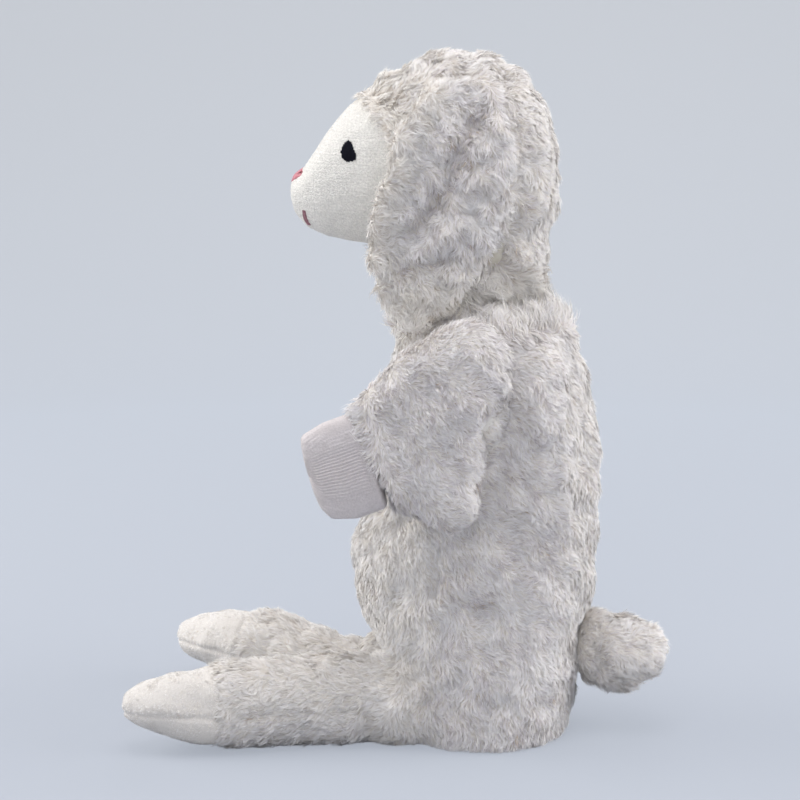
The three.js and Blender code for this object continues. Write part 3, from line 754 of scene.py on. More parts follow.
def make_backdrop():
    """A paper sweep: level under the puppet, rising behind it on every side."""
    flat, rise, top = 0.9, 0.5, 2.2
    profile = [(flat, 0.0)]
    steps = 10
    for i in range(1, steps + 1):
        angle = math.pi / 2 * i / steps
        profile.append((flat + rise * math.sin(angle), rise * (1 - math.cos(angle))))
    profile.append((flat + rise, top))
    around = 48
    vertices = [(0, 0, 0)]
    for r, z in profile:
        for i in range(around):
            angle = 2 * math.pi * i / around
            vertices.append((r * math.cos(angle), r * math.sin(angle), z))
    faces = [(0, 1 + i, 1 + (i + 1) % around) for i in range(around)]
    faces += ring_faces(len(profile), around, start=1, inwards=True)
    sweep = new_mesh("backdrop", vertices, faces)
    made, tree, shader = material("paper", roughness=0.9)
    shader.inputs["Base Color"].default_value = (*PAPER, 1)
    place = add_node(tree, "TexCoord")
    away = add_node(tree, "VectorMath", [(0, place.outputs["Object"])], operation="LENGTH")
    span = [("From Min", GLOW_FROM), ("From Max", GLOW_TO), ("Value", away.outputs["Value"])]
    reach = add_node(tree, "MapRange", span).outputs["Result"]
    # The painted light: an emission that only camera rays see, graded outwards from the puppet
    glow = add_node(tree, "Emission", [("Color", ramp(tree, PAPER_PAINTED_GLOW, reach))])
    rays = add_node(tree, "LightPath")
    seen = [(0, rays.outputs["Is Camera Ray"]), (1, GLOW_SHARE)]
    share = add_node(tree, "Math", seen, operation="MULTIPLY").outputs[0]
    both = [("Fac", share), (1, shader.outputs["BSDF"]), (2, glow.outputs["Emission"])]
    mix = add_node(tree, "MixShader", both)
    tree.links.new(mix.outputs["Shader"], tree.nodes["Material Output"].inputs["Surface"])
    sweep.data.materials.append(made)


def make_lamp(name, place, target, size, power, color):
    data = bpy.data.lights.new(name, "AREA")
    data.shape = "DISK"
    data.size = size
    data.energy = power
    data.color = color
    lamp = add_object(name, data)
    lamp.location = place
    lamp.rotation_mode = "QUATERNION"
    lamp.rotation_quaternion = (Vector(target) - Vector(place)).to_track_quat("-Z", "Y")


def make_light():
    """Broad lamps ahead of the puppet, behind it, above it and, weaker, at its sides, in a dim cool room."""
    middle = (0, 0, 0.13)
    warm = (1, 0.985, 0.95)
    make_lamp("lamp_front", (-0.05, -1.0, 0.65), middle, 0.9, 9.4, warm)
    make_lamp("lamp_back", (-0.05, 1.0, 0.65), middle, 0.9, 8.6, warm)
    make_lamp("lamp_top", (0.25, 0.0, 1.3), middle, 0.9, 4.6, (1, 1, 1))
    for side, label in SIDES:
        make_lamp(f"lamp_{label}", (1.3 * side, 0.0, 0.55), middle, 1.0, 5.3, (1, 0.99, 0.97))
    world = bpy.data.worlds.new("world")
    bpy.context.scene.world = world
    world.use_nodes = True
    sky = world.node_tree.nodes["Background"]
    sky.inputs["Color"].default_value = (0.96, 0.93, 1.0, 1)
    sky.inputs["Strength"].default_value = 0.84


# The body

BODY_FOLDS = [
    ([(-14.5, 88), (-14.1, 78), (-14.1, 67)], -2.6, 2.6),
    ([(-24, 70), (-20, 63)], -1.4, 3),
    ([(-17.6, 64), (-13, 56.6), (-8.4, 50)], -1.2, 4),
    ([(-39, 81), (-28.6, 58.6), (-19.7, 39.7), (-9.9, 27), (-4, 18)], -2.2, 5),
    ([(30, 50), (22.2, 42.6), (12.7, 31.5), (-2, 22)], 1.8, 6),
    ([(6.9, 22.2), (22.4, 21), (32.9, 18.3), (38.7, 26.3)], -1.6, 4),
    ([(40.5, 127.7), (43.9, 124.8), (47.3, 120.2)], -1.8, 3),
    ([(16.7, 181.7), (22.9, 184.3)], -1.5, 2.5),
    ([(17.6, 164), (20.4, 168.6), (25.4, 172.5)], -1.4, 3),
    ([(12, 152), (14, 138), (13, 118), (10, 100)], -1.6, 5),
    ([(26, 150), (34, 118), (36, 90), (33, 66)], 1.2, 9),
]
HIP_SWELL = ((29, -31, 18), (17, 26, 19))  # centre and radii
SHOULDER_SWELL = ((35, 9, 151), (16, 31, 30))
SHOULDER_ROOT = ((46, 1, 156), (11, 17.5, 27.5))
HOLLOW_SHADE = (20, 126)  # middle of the painted shade in the hollow behind the sleeve
BODY_CLOTH = 0.002  # thickness
HEM_Z = 0.0007  # height of the hem's edge over the floor
LONG_PILE = 0.0115  # of the strands round the neck


def body_skin():
    """The glove round both panels, with the swellings where the limbs are sewn on."""
    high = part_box("body_back_panel")[1]
    middle_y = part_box("body_back_panel")[0][1]
    panels = ["body_front_panel", "body_back_panel"]
    skin = upright_skin("body_skin", panels, middle_y, HEM_Z, high[2] - HEM_Z, 60, 96)
    swellings = []
    for side in (1, -1):
        for (x, y, z), radii in (HIP_SWELL, SHOULDER_SWELL):
            swellings.append(blob((x * side, y, z), radii))
    join(skin, swellings)
    remesh(skin, 0.0018, 9)
    for side in (1, -1):
        fold(skin, BODY_FOLDS, side)
    for height, wavelength in ((0.0009, 0.03), (0.0004, 0.011)):
        rumple(skin, height, wavelength, lambda co: smooth_step(0.004, 0.02, co[:, 2]))
    slice_off(skin, (0, 0, HEM_Z), (0, 0, -1))
    skin.data.shade_smooth()
    return skin


def under_sleeve(places):
    """How far each place of the drawing lies behind a sleeve, 0 to 1."""
    sleeve = np.hypot((places[:, 1] + 8) / 24, (places[:, 2] - 140) / 38)
    return smooth_step(1.0, 0.8, sleeve) * smooth_step(36, 40, np.abs(places[:, 0]))


def make_body():
    skin = body_skin()
    bare = twin(skin, "bare")
    thicken(skin, BODY_CLOTH)
    wear(skin, "backing", "torso")
    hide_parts("body_front_panel", "body_back_panel")

    def flow(points):
        p = drawn(points)
        way = turned_to((0, 0.1, -1), (0, 0.85, -0.62), smooth_step(-34, 8, p[:, 1]))
        way = turned_to(way, (0, -0.1, -1), smooth_step(60, 20, p[:, 2]) * 0.8)
        way = turned_to(way, (0, 0.2, -1), smooth_step(36, 46, p[:, 1]))
        hip = smooth_step(-24, -34, p[:, 1]) * smooth_step(46, 34, p[:, 2])
        way = turned_to(way, (0, -1, -0.45), hip * smooth_step(6, 14, np.abs(p[:, 0])))
        upwards = unit(p * np.array([-1.0, -1.0, 0.0])) * 0.4 + np.array([0, 0, 1.0])
        return turned_to(way, upwards, smooth_step(176, 181, p[:, 2]))

    # The belly lighter, partly its creamier pile and partly painted light; the back edge lighter, a painted
    # highlight; painted shade in the hollow behind the sleeve
    def tone(points):
        p = drawn(points)
        front = smooth_step(-8, -30, p[:, 1])
        away = ((p[:, 1] - HOLLOW_SHADE[0]) / 12) ** 2 + ((p[:, 2] - HOLLOW_SHADE[1]) / 18) ** 2
        hollow_shade = np.exp(-away)
        return 0.22 * front + 0.1 * smooth_step(34, 46, p[:, 1]) - 0.12 * hollow_shade

    # Painted cool shade: more cool strands on the side than on the belly and the back
    def cool(points):
        p = drawn(points)
        return lerp(0.2, 0.75, smooth_step(-30, -5, p[:, 1])) - 0.25 * smooth_step(34, 46, p[:, 1])

    def trim(points):
        p = drawn(points)
        hem = 0.35 * smooth_step(14, 2, p[:, 2])
        neck = 0.7 * smooth_step(172, 181, p[:, 2])
        return 1 + hem + neck - 0.45 * under_sleeve(p)

    def neckline(points, normals):
        return smooth_step(172, 178, drawn(points)[:, 2])

    grow("body_pile", bare, Coat(flow, tone=tone, cool=cool, trim=trim, wild=0.6), riding("torso"))
    standing = Coat(brushed(0, 0, 1), length=LONG_PILE, density=2.6, lift=0.9, where=neckline)
    grow("body_neckline", bare, standing, riding("torso"))
    bpy.data.objects.remove(bare)


def make_ruff():
    """The furry neck between the body and the head."""
    low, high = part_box("neck_collar")
    place = joint_place("neck_turn")
    ruff = upright_skin("neck_skin", ["neck_collar"], place[1], low[2] + HEM_Z, high[2] - HEM_Z, 14, 64)
    remesh(ruff, 0.0015, 4)
    wear(ruff, "backing", "neck")
    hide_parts("neck_collar")

    def flow(points):
        out = points - place
        out[:, 2] = 0
        return unit(out) + np.array([0, 0, -0.4])

    def where(points, normals):
        return (drawn(points)[:, 2] < 198) * (normals[:, 2] < 0.8)

    # Mostly warm strands: a painted tan cast for the shade in the crease under the head
    tan_shade_coat = Coat(flow, length=LONG_PILE, density=4, where=where, cool=lambda p: 0.1)
    grow("neck_pile", ruff, tan_shade_coat, riding("neck"))


# The head and the ears


def in_face(points, margin=0.0):
    """Whether points lie in the knit face, which reaches as far as its circle seen from the side."""
    p = drawn(points)
    return np.hypot(p[:, 1] - FACE_CENTRE[0], p[:, 2] - FACE_CENTRE[1]) < FACE_RADIUS + margin


HEAD_FOLDS = [
    ([(20, 282), (26, 262), (27, 240), (24, 215)], 1.2, 7),
    ([(8, 284), (16, 268), (18, 250), (17, 225), (10, 203)], -1.6, 4),
    ([(24, 246), (22, 232), (17, 217), (8, 203)], -1.8, 4),
]


# The top of the muzzle's outline, and how much lower the photograph has it, from its tip to the brow
BROW = ((-80, -72, -64, -54, -43), (237, 250, 261, 271.5, 278))
BROW_DROP = (
    (-80, -77.2, -74.7, -72, -68, -64, -60, -54, -46, -40),
    (0.4, 2.8, 4.7, 5.1, 4.9, 4.2, 3.3, 2.6, 1.4, 0),
)
BROW_DEPTH = 18  # how far below the outline the pressing fades out
BEHIND_KNIT = 0.0012  # how far the skin lies below the knit of the face
CURL = (-31, 263)  # middle of the tan curl in the pile of the forehead


def lower_brow(piece):
    co = points_of(piece)
    p = drawn(co)
    brow = np.interp(p[:, 1], *BROW)
    co[:, 2] -= np.interp(p[:, 1], *BROW_DROP) * smooth_step(brow - BROW_DEPTH, brow, p[:, 2]) * MM
    set_points(piece, co)


def from_curl(p):
    return np.hypot(p[:, 1] - CURL[0], p[:, 2] - CURL[1])


def head_form(name, segments, steps):
    """A skin round the hood and the knit of the face."""
    nodes = ["head_hood", "cheek_left", "cheek_right", "forehead_strip"]
    low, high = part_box("head_hood")
    centre_y = (low[1] + high[1]) / 2 - 0.003
    return upright_skin(name, nodes, centre_y, low[2] + HEM_Z, high[2] - HEM_Z, steps, segments)


def make_head():
    skin = head_form("head_skin", 110, 56)
    remesh(skin, 0.0016, 8)
    lower_brow(skin)
    rumple(skin, 0.0007, 0.016, lambda co: 1.0 - in_face(co, 2))
    for side in (1, -1):
        fold(skin, HEAD_FOLDS, side)
    push_out(skin, -BEHIND_KNIT * in_face(points_of(skin), -1.5))
    wear(skin, "backing", "head")
    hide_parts("head_hood")
    centre = at(0, *FACE_CENTRE)

    def flow(points):
        out = points - centre
        out[:, 0] *= 0.3
        from_face = np.linalg.norm(out[:, 1:], axis=1) / MM - FACE_RADIUS
        out = unit(out)
        inwards = (rng.random(len(points)) < 0.8 * smooth_step(6, 2, from_face))[:, None]
        out = np.where(inwards, -out, out)
        out[:, 2] -= 0.45
        return out

    def where(points, normals):
        low = drawn(points)[:, 2] < 193
        return (1.0 - in_face(points, 0.3)) * (1 - low * (normals[:, 2] < -0.9))

    def tone(points):
        return 0.08 - 0.5 * bell(from_curl(drawn(points)), 2.6)

    def cool(points):
        p = drawn(points)
        behind_brow = smooth_step(-45, -10, p[:, 1]) * smooth_step(192, 210, p[:, 2])
        return 0.45 * behind_brow * (1 - bell(from_curl(p), 4))

    def trim(points):
        return 1 + 0.9 * smooth_step(207, 197, drawn(points)[:, 2])

    coat = Coat(flow, length=0.0052, tuft=0.0018, swirl=0.6, lift=0.75)
    coat.where, coat.tone, coat.cool, coat.trim = where, tone, cool, trim
    grow("head_pile", skin, coat, riding("head"))
    wool = new_mesh("head_wool", *node_geometry(["head_filling"]))
    remesh(wool, 0.002, 3)
    lower_brow(wool)
    rumple(wool, 0.0003, 0.01)
    wear(wool, "wool", "head")
    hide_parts("head_filling")


def make_face():
    """The smooth knit of both cheeks and of the strip between them, sewn along two seams."""
    face = head_form("face_knit", 200, 100)
    remesh(face, 0.0007, 14)
    keep_faces(face, lambda centres: in_face(centres, 1.6))
    lower_brow(face)
    p = drawn(points_of(face))
    seam = np.abs(np.abs(p[:, 0]) - GUSSET_HALF)
    on_top = smooth_step(234, 244, p[:, 2] + 0.4 * (p[:, 1] + 60))
    amount = -0.7 * bell(seam, 0.6) + 0.22 * bell(seam - 1.8, 0.9)
    amount *= on_top
    amount -= 0.6 * bell(p[:, 0], 0.6) * smooth_step(232, 222, p[:, 2])
    rows = 0.06 * np.sin(p[:, 2] * 2 * math.pi / 1.9) + 0.05 * np.sin(p[:, 1] * 2 * math.pi / 1.7)
    amount += rows * smooth_step(1.5, 3, seam)
    amount -= MOUTH_CREASE * bell(distance_to_mouth(p), 1.2)
    amount -= smooth_step(-1.5, 1.6, np.hypot(*(p[:, 1:] - np.array(FACE_CENTRE)).T) - FACE_RADIUS)
    push_out(face, amount * MM)
    tree = BVHTree.FromPolygons([v.co for v in face.data.vertices], [p.vertices for p in face.data.polygons])
    thicken(face, KNIT)
    wear(face, "face", "head")
    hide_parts("cheek_left", "cheek_right", "forehead_strip")
    make_embroidery(tree)


KNIT = 0.0006  # thickness
THREAD = 0.00034  # radius of a stitch's thread
THREAD_SPACING = 0.52
THREAD_SAMPLES = 14  # steps along a thread
THREAD_ENDS = 0.15  # how unevenly the threads end
SHORTEST_THREAD = 0.6
STITCH_SIDES = 6
PAD, SINK = 0.45, 0.2  # how far the pad rises, and how far a stitch's ends sink below the knit
AHEAD = 0.02  # how far out the rays start that find the knit
LAYERS = (0.2, 0.6, 1.0)  # heights of the threads over the knit, as shares of the top layer's
# The eye's lower and upper edge, seen from the side, from its front to its back
EYE_Y = (-54.6, -54.3, -53.3, -52.3, -51.3, -50.3, -49.3, -48.5, -47.9)
EYE_LOW = (250.0, 248.5, 247.1, 246.6, 246.4, 246.5, 246.7, 246.9, 247.6)
EYE_HIGH = (250.6, 252.1, 253.6, 254.8, 255.0, 254.3, 252.3, 250.3, 248.2)
EYE = (-51.2, 250.6)
EYE_X = 24
NOSE = (-77.2, 240.0)
NOSE_SLOPE = (0.75, 0.66)  # up the bridge of the muzzle
NOSE_HALF = 7.8
NOSE_BELOW, NOSE_ABOVE = 3.9, 3.3  # how far it reaches down and up the muzzle from its middle
MOUTH_Y = -72.5
MOUTH_LOW = (8.6, 217.4)  # X and Z of the ends of the mouth's left stroke
MOUTH_HIGH = (13.6, 224.3)
MOUTH_CREASE = 0.5


def distance_to_mouth(places):
    """Distance to the strokes of the mouth, seen from the front."""
    ahead = np.where(places[:, 1] < -60, 0, 100)
    flat = np.stack([np.abs(places[:, 0]), places[:, 2]], axis=1)
    return distance_to_path(flat, [MOUTH_LOW, MOUTH_HIGH]) + ahead


def pulled_taut(heights):
    """Heights along a thread that spans the hollows of what it lies on."""
    taut = heights.copy()
    for first in range(len(heights)):
        for last in range(first + 1, len(heights)):
            span = np.linspace(heights[first], heights[last], last - first + 1)
            taut[first : last + 1] = np.maximum(taut[first : last + 1], span)
    return taut


def add_thread(vertices, faces, line, out):
    """A round thread along a line of points."""
    start = len(vertices)
    for i, spot in enumerate(line):
        before, after = line[max(0, i - 1)], line[min(len(line) - 1, i + 1)]
        run = unit(after - before)
        lift = unit(out - run * (out @ run))
        sideways = np.cross(run, lift)
        for k in range(STITCH_SIDES):
            angle = 2 * math.pi * k / STITCH_SIDES
            turn = sideways * math.cos(angle) + lift * math.sin(angle)
            vertices.append(spot + turn * THREAD)
    faces += ring_faces(len(line), STITCH_SIDES, start)
    faces.append([start + k for k in reversed(range(STITCH_SIDES))])
    last = start + (len(line) - 1) * STITCH_SIDES
    faces.append([last + k for k in range(STITCH_SIDES)])


def satin(name, node, look, tree, centre, along, out, reach, edges):
    """Satin stitch on the knit: threads side by side, each bowed over a low pad.
    edges gives the place of a thread's ends along it, from its place across."""
    along = unit(np.array(along, dtype=float))
    out = unit(np.array(out, dtype=float))
    across = np.cross(out, along)
    vertices, faces = [], []
    for place in np.arange(-reach, reach + 0.01, THREAD_SPACING):
        low, high = edges(place)
        low, high = low + rng.normal(0, THREAD_ENDS), high + rng.normal(0, THREAD_ENDS)
        hits, raised = [], []
        for i in range(THREAD_SAMPLES + 1):
            t = i / THREAD_SAMPLES
            foot = centre + (across * place + along * lerp(low, high, t)) * MM
            hit = tree.ray_cast(Vector(foot + out * AHEAD), Vector(-out), 2 * AHEAD)[0]
            if hit is not None:
                hits.append(np.array(hit))
                raised.append((PAD * math.sin(math.pi * t) ** 0.6 - SINK) * MM)
        if high - low < SHORTEST_THREAD or len(hits) < 3:
            continue
        heights = np.array(hits) @ out
        lifts = pulled_taut(heights) - heights + raised
        for layer in LAYERS:
            line = [hit + out * lift * layer for hit, lift in zip(hits, lifts)]
            add_thread(vertices, faces, line, out)
    piece = new_mesh(name, vertices, faces)
    wear(piece, look, "head")
    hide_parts(node)


def make_embroidery(tree):
    """The eyes, the nose and the two strokes of the mouth, stitched on the knit."""
    for side, label in SIDES:

        def eye_edges(place, side=side):
            y = EYE[0] - place * side
            return np.interp(y, EYE_Y, EYE_LOW) - EYE[1], np.interp(y, EYE_Y, EYE_HIGH) - EYE[1]

        eye = at(EYE_X * side, *EYE)
        name = f"eye_{label}"
        satin(f"{name}_stitches", name, "black", tree, eye, (0, 0, 1), (side, 0, 0), 3.4, eye_edges)
        middle = (np.array(MOUTH_LOW) + np.array(MOUTH_HIGH)) / 2
        run = np.array(MOUTH_HIGH) - np.array(MOUTH_LOW)
        half = np.linalg.norm(run) / 2
        mouth = at(middle[0] * side, MOUTH_Y, middle[1])
        along = (run[0] * side, -1.1, run[1])
        out = (0.45 * side, -0.72, -0.5)
        name = f"mouth_{label}"
        ends = (-half, half)
        satin(f"{name}_stitches", name, "mauve", tree, mouth, along, out, THREAD_SPACING, lambda place: ends)

    def nose_edges(place):
        share = min(abs(place) / NOSE_HALF, 1)
        return -NOSE_BELOW * (1 - share**2.6), NOSE_ABOVE * math.sqrt(1 - share**4)

    out = (0, -NOSE_SLOPE[1], NOSE_SLOPE[0])
    along = (0, *NOSE_SLOPE)
    satin("nose_stitches", "nose", "pink", tree, at(0, *NOSE), along, out, 7.4, nose_edges)


# Ridges and creases of the ear: its path seen from the side, its height and its width
EAR_FOLDS = [
    ([(-16, 276), (-27, 256), (-33, 236), (-38, 218), (-37, 203)], 3.2, 4.5),
    ([(4, 268), (-2, 258), (-8, 240), (-17, 226), (-24, 219)], -4.0, 4.5),
    ([(-12, 268), (-19, 250), (-24, 232)], -1.0, 4),
    ([(-3, 222), (-12, 217), (-20, 212)], 2.0, 4),
    ([(-8, 210), (-20, 206), (-29, 204)], -2.6, 3.5),
    ([(-14, 196), (-24, 192)], 1.6, 4.5),
    ([(14, 262), (13, 244), (7, 222), (-3, 205)], 1.6, 5),
    ([(10, 250), (2, 246)], -1.4, 3),
]
EAR_RIM, EAR_VALLEY, EAR_CREASE = EAR_FOLDS[0][0], EAR_FOLDS[1][0], EAR_FOLDS[4][0]
EAR_FRONT = ((195, 218, 236, 256, 280), (-36, -38, -33, -27, -14))  # heights, and the front edge's Y there
EAR_FURTHER = 5.5  # how much further back the ear's rear edge bulges than the solid's


def make_ears():
    for side, label in SIDES:
        nodes = [f"ear_{label}_inner", f"ear_{label}_outer"]
        skin = new_mesh(f"ear_{label}_skin", *node_geometry(nodes))
        remesh(skin, 0.0013, 8)
        co = points_of(skin)
        p = drawn(co)
        further = EAR_FURTHER * smooth_step(0, 12, p[:, 1]) * smooth_step(208, 236, p[:, 2])
        co[:, 1] += further * smooth_step(272, 250, p[:, 2]) * MM
        set_points(skin, co)
        fold(skin, EAR_FOLDS, side)
        rumple(skin, 0.0006, 0.013)
        wear(skin, "backing", f"ear_{label}")
        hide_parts(*nodes)

        def flow(points):
            p = drawn(points)
            fan = smooth_step(0, 26, p[:, 1] - np.interp(p[:, 2], *EAR_FRONT))
            return np.stack([np.zeros(len(p)), lerp(1.0, 0.25, fan), -lerp(0.35, 1.15, fan)], axis=1)

        # Painted shade in the ear's valley and crease, and a painted highlight along its rim
        def tone(points):
            places = drawn(points)[:, 1:]
            valley, crease, rim = (distance_to_path(places, k) for k in (EAR_VALLEY, EAR_CREASE, EAR_RIM))
            return 0.12 + (-0.36 * bell(valley, 5.5) - 0.34 * bell(crease, 3)) + 0.14 * bell(rim, 5)

        # Painted light: warm strands on the lit rim and cool ones in the shade beyond it, and warm ones low
        # down
        def cool(points):
            p = drawn(points)
            rim = distance_to_path(p[:, 1:], EAR_RIM)
            return lerp(0.15, 0.7, smooth_step(3, 9, rim)) * smooth_step(188, 215, p[:, 2])

        coat = Coat(flow, length=0.0056, tuft=0.0017, swirl=0.6, tone=tone, cool=cool)
        grow(f"ear_{label}_pile", skin, coat, riding(f"ear_{label}"))


# The arms

SLEEVE_FOLDS = [
    ([(-38, 158), (-30, 132), (-22, 108)], 1.4, 4),
    ([(-44, 146), (-36, 125), (-28, 108)], -1.0, 2.5),
    ([(-24, 150), (-10, 140), (0, 120)], -1.0, 6),
    ([(3, 152), (3, 138), (1.4, 122), (0, 105)], 1.4, 4),
]
CAP_SWELL = ((57, 0, 157), (11.3, 19, 29))
ARM_X = 57
SHOULDER_INNER, SHOULDER_OUTER = 40, 52  # X where the pile of the sleeve's root starts and stops


def turned_about_shoulder(places, angle):
    """Side places (y, z) as they lie on an arm that hangs lower by an angle."""
    cos, sin = math.cos(angle), math.sin(angle)
    y, z = places[:, 0] - SHOULDER[0], places[:, 1] - SHOULDER[1]
    return np.stack([y * cos - z * sin + SHOULDER[0], y * sin + z * cos + SHOULDER[1]], axis=1)


DROOP = {"left": 0.0, "right": math.radians(12)}
# The sleeve's rear edge by its height: heights, the solid's edge and the edge that the photograph shows
SLEEVE_Z = (97, 112, 120, 130, 140, 150, 160, 172, 182)
SLEEVE_REAR = (7, 7, 9.5, 12.6, 17.6, 19, 21, 16.2, 14)
SLEEVE_REAR_SEEN = (3, 3.5, 4, 5, 7, 13, 17, 16, 14)
SLEEVE_ROOT_X = 48.5
WRIST = np.array([[-36.5, 127.0], [-63.5, 119.0]])  # the paw's ends inside the sleeve and at its tip
SLEEVE_ROUNDING = 16  # how far ahead of the rear edge the outer side starts to round off


def shape_sleeve(skin, side, droop):
    """Draws the rear edge in to where the photograph has it and rounds the outer side towards it."""
    co = points_of(skin)
    p = drawn(co)
    upright = turned_about_shoulder(p[:, 1:], -droop)
    y, z = upright[:, 0], upright[:, 1]
    rear = np.interp(z, SLEEVE_Z, SLEEVE_REAR)
    y = y - (rear - np.interp(z, SLEEVE_Z, SLEEVE_REAR_SEEN)) * smooth_step(-18, rear, y)
    ahead = np.clip((np.interp(z, SLEEVE_Z, SLEEVE_REAR_SEEN) - y) / SLEEVE_ROUNDING, 0, 1)
    rounding = 0.05 + 0.95 * np.sqrt(1 - (1 - ahead) ** 2)
    out = np.maximum(p[:, 0] * side - SLEEVE_ROOT_X, 0)
    p[:, 0] -= out * (1 - rounding) * side
    p[:, 1:] = turned_about_shoulder(np.stack([y, z], axis=1), droop)
    set_points(skin, p * MM + np.array([0, SHIFT, 0]))


def make_sleeve(side, label):
    droop = DROOP[label]
    nodes = [f"arm_{label}_sleeve_outer", f"arm_{label}_sleeve_inner"]
    skin = hull(f"arm_{label}_skin", nodes)
    (x, y, z), radii = CAP_SWELL
    centre = turned_about_shoulder(np.array([[y, z]], dtype=float), droop)[0]
    join(skin, [blob((x * side, *centre), radii, droop)])
    remesh(skin, 0.0015, 6)
    shape_sleeve(skin, side, droop)
    remesh(skin, 0.0015, 6)
    folds = [(turned_about_shoulder(np.array(p, dtype=float), droop), h, w) for p, h, w in SLEEVE_FOLDS]
    fold(skin, folds, side)
    rumple(skin, 0.0007, 0.02)
    wear(skin, "backing", f"arm_{label}")
    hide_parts(*nodes)

    inner = turned_about_shoulder(WRIST, droop)
    wrist = unit(inner[0] - inner[1])

    def flow(points):
        p = drawn(points)
        way = turned_to((0, 0.75, -0.6), (0, 0.88, -0.48), smooth_step(-30, 0, p[:, 1]))
        return turned_to(way, (0, -0.9, -0.5), smooth_step(-7, 0, (inner[0] - p[:, 1:]) @ wrist))

    def where(points, normals):
        beside_body = smooth_step(-36, -28, drawn(points)[:, 1])
        return 1 - smooth_step(-0.6, -0.9, normals[:, 0] * side) * beside_body

    def trim(points):
        p = drawn(points)
        cuff = smooth_step(-4, 0, (inner[0] - p[:, 1:]) @ wrist)
        rear = smooth_step(6, 15, p[:, 1]) * smooth_step(136, 146, p[:, 2])
        return 1 + 0.7 * np.maximum(cuff, rear)

    coat = Coat(flow, where=where, cool=lambda p: 0.75, trim=trim)
    grow(f"arm_{label}_pile", skin, coat, riding(f"arm_{label}"))


def make_shoulder(side, label):
    """Where the sleeve is sewn on: a swelling of cloth between the body and the arm."""
    (x, y, z), radii = SHOULDER_ROOT
    skin = blob((x * side, y, z), radii)
    skin.name = f"shoulder_{label}_skin"
    remesh(skin, 0.0015, 2)

    def settle(piece):
        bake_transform(piece)

    paint(skin, "backing")
    settle(skin)

    def where(points, normals):
        x = drawn(points)[:, 0] * side
        return (x > SHOULDER_INNER) * (x < SHOULDER_OUTER + 2) * 1.0

    grow(f"shoulder_{label}_pile", skin, Coat(brushed(0, 0.8, -0.5), density=2.2, where=where), settle)


RIB_WIDTH = 1.35
RIB_HEIGHT = 0.28


def make_paw(side, label):
    """A ribbed knit paw. Its ribs run along the arm."""
    node = f"arm_{label}_paw"
    droop = DROOP[label]
    inner = turned_about_shoulder(WRIST, droop)
    start, end = at(ARM_X * side, *inner[0]), at(ARM_X * side, *inner[1])
    axis = Vector(end - start).normalized()
    steps = 44
    centres = [Vector(lerp(start, end, i / steps)) for i in range(steps + 1)]
    segments = 240
    up = UP - axis * axis.z
    piece = drape(f"paw_{label}_knit", [node], centres, axis, up, segments)
    soften(piece, 12)
    co = points_of(piece)
    rings = co[: (steps + 1) * segments].reshape(steps + 1, segments, 3)
    around = np.linalg.norm(np.roll(rings, -1, axis=1) - rings, axis=2)
    share = np.cumsum(around, axis=1) / around.sum(axis=1, keepdims=True)
    ribs = round(around[steps // 2].sum() / MM / RIB_WIDTH)
    wave = np.cos(2 * math.pi * ribs * share)
    fade = np.sin(np.linspace(0.35, math.pi - 0.5, steps + 1))[:, None]
    stitches = 0.25 * np.cos(np.arange(steps + 1) * math.pi)[:, None]
    height = RIB_HEIGHT * MM * (wave + stitches * (wave > 0)) * np.minimum(1, 2.5 * fade)
    amount = np.zeros(len(co))
    amount[: wave.size] = height.ravel()
    push_out(piece, amount)
    wear(piece, "paw", f"arm_{label}")
    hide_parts(node)


def make_arms():
    for side, label in SIDES:
        make_sleeve(side, label)
        make_shoulder(side, label)
        make_paw(side, label)


# The legs and the tail

TOE_LIFT = {"left": 4.6, "right": 7.0}  # how far the underside of the toe is off the floor
# How much higher the top of the leg lies than the solid's, for the distance from the hip
LEG_TOP = {"left": ((-17, 42, 69), (3.5, 3.0, 0.0)), "right": ((20, 25, 42, 55), (-8.5, -7.0, -2.0, 0.0))}
TOE_REACH = 1.5  # how much further the toe's tip goes
SOLE_Z = 0.0004  # lowest height of a leg's skin over the floor
PINNED = 1.8  # how near a seam the skin isn't stuffed


def shape_leg(co, hip, along, label):
    """Leg points as the stuffing has them: the toe curls up off the floor, the top sags or stands up."""
    distance = (co - hip) @ along / MM
    share = np.clip(drawn(co)[:, 2] / 34, 0, 1)
    lift = TOE_LIFT[label] * smooth_step(50, 88, distance) * (1 - share) ** 1.5
    lift += np.interp(distance, *LEG_TOP[label]) * share**1.5
    reach = TOE_REACH * np.clip((distance - 85) / 17, 0, 1) ** 2
    return co + along * (reach * MM)[:, None] + np.array([0, 0, 1]) * (lift * MM)[:, None]


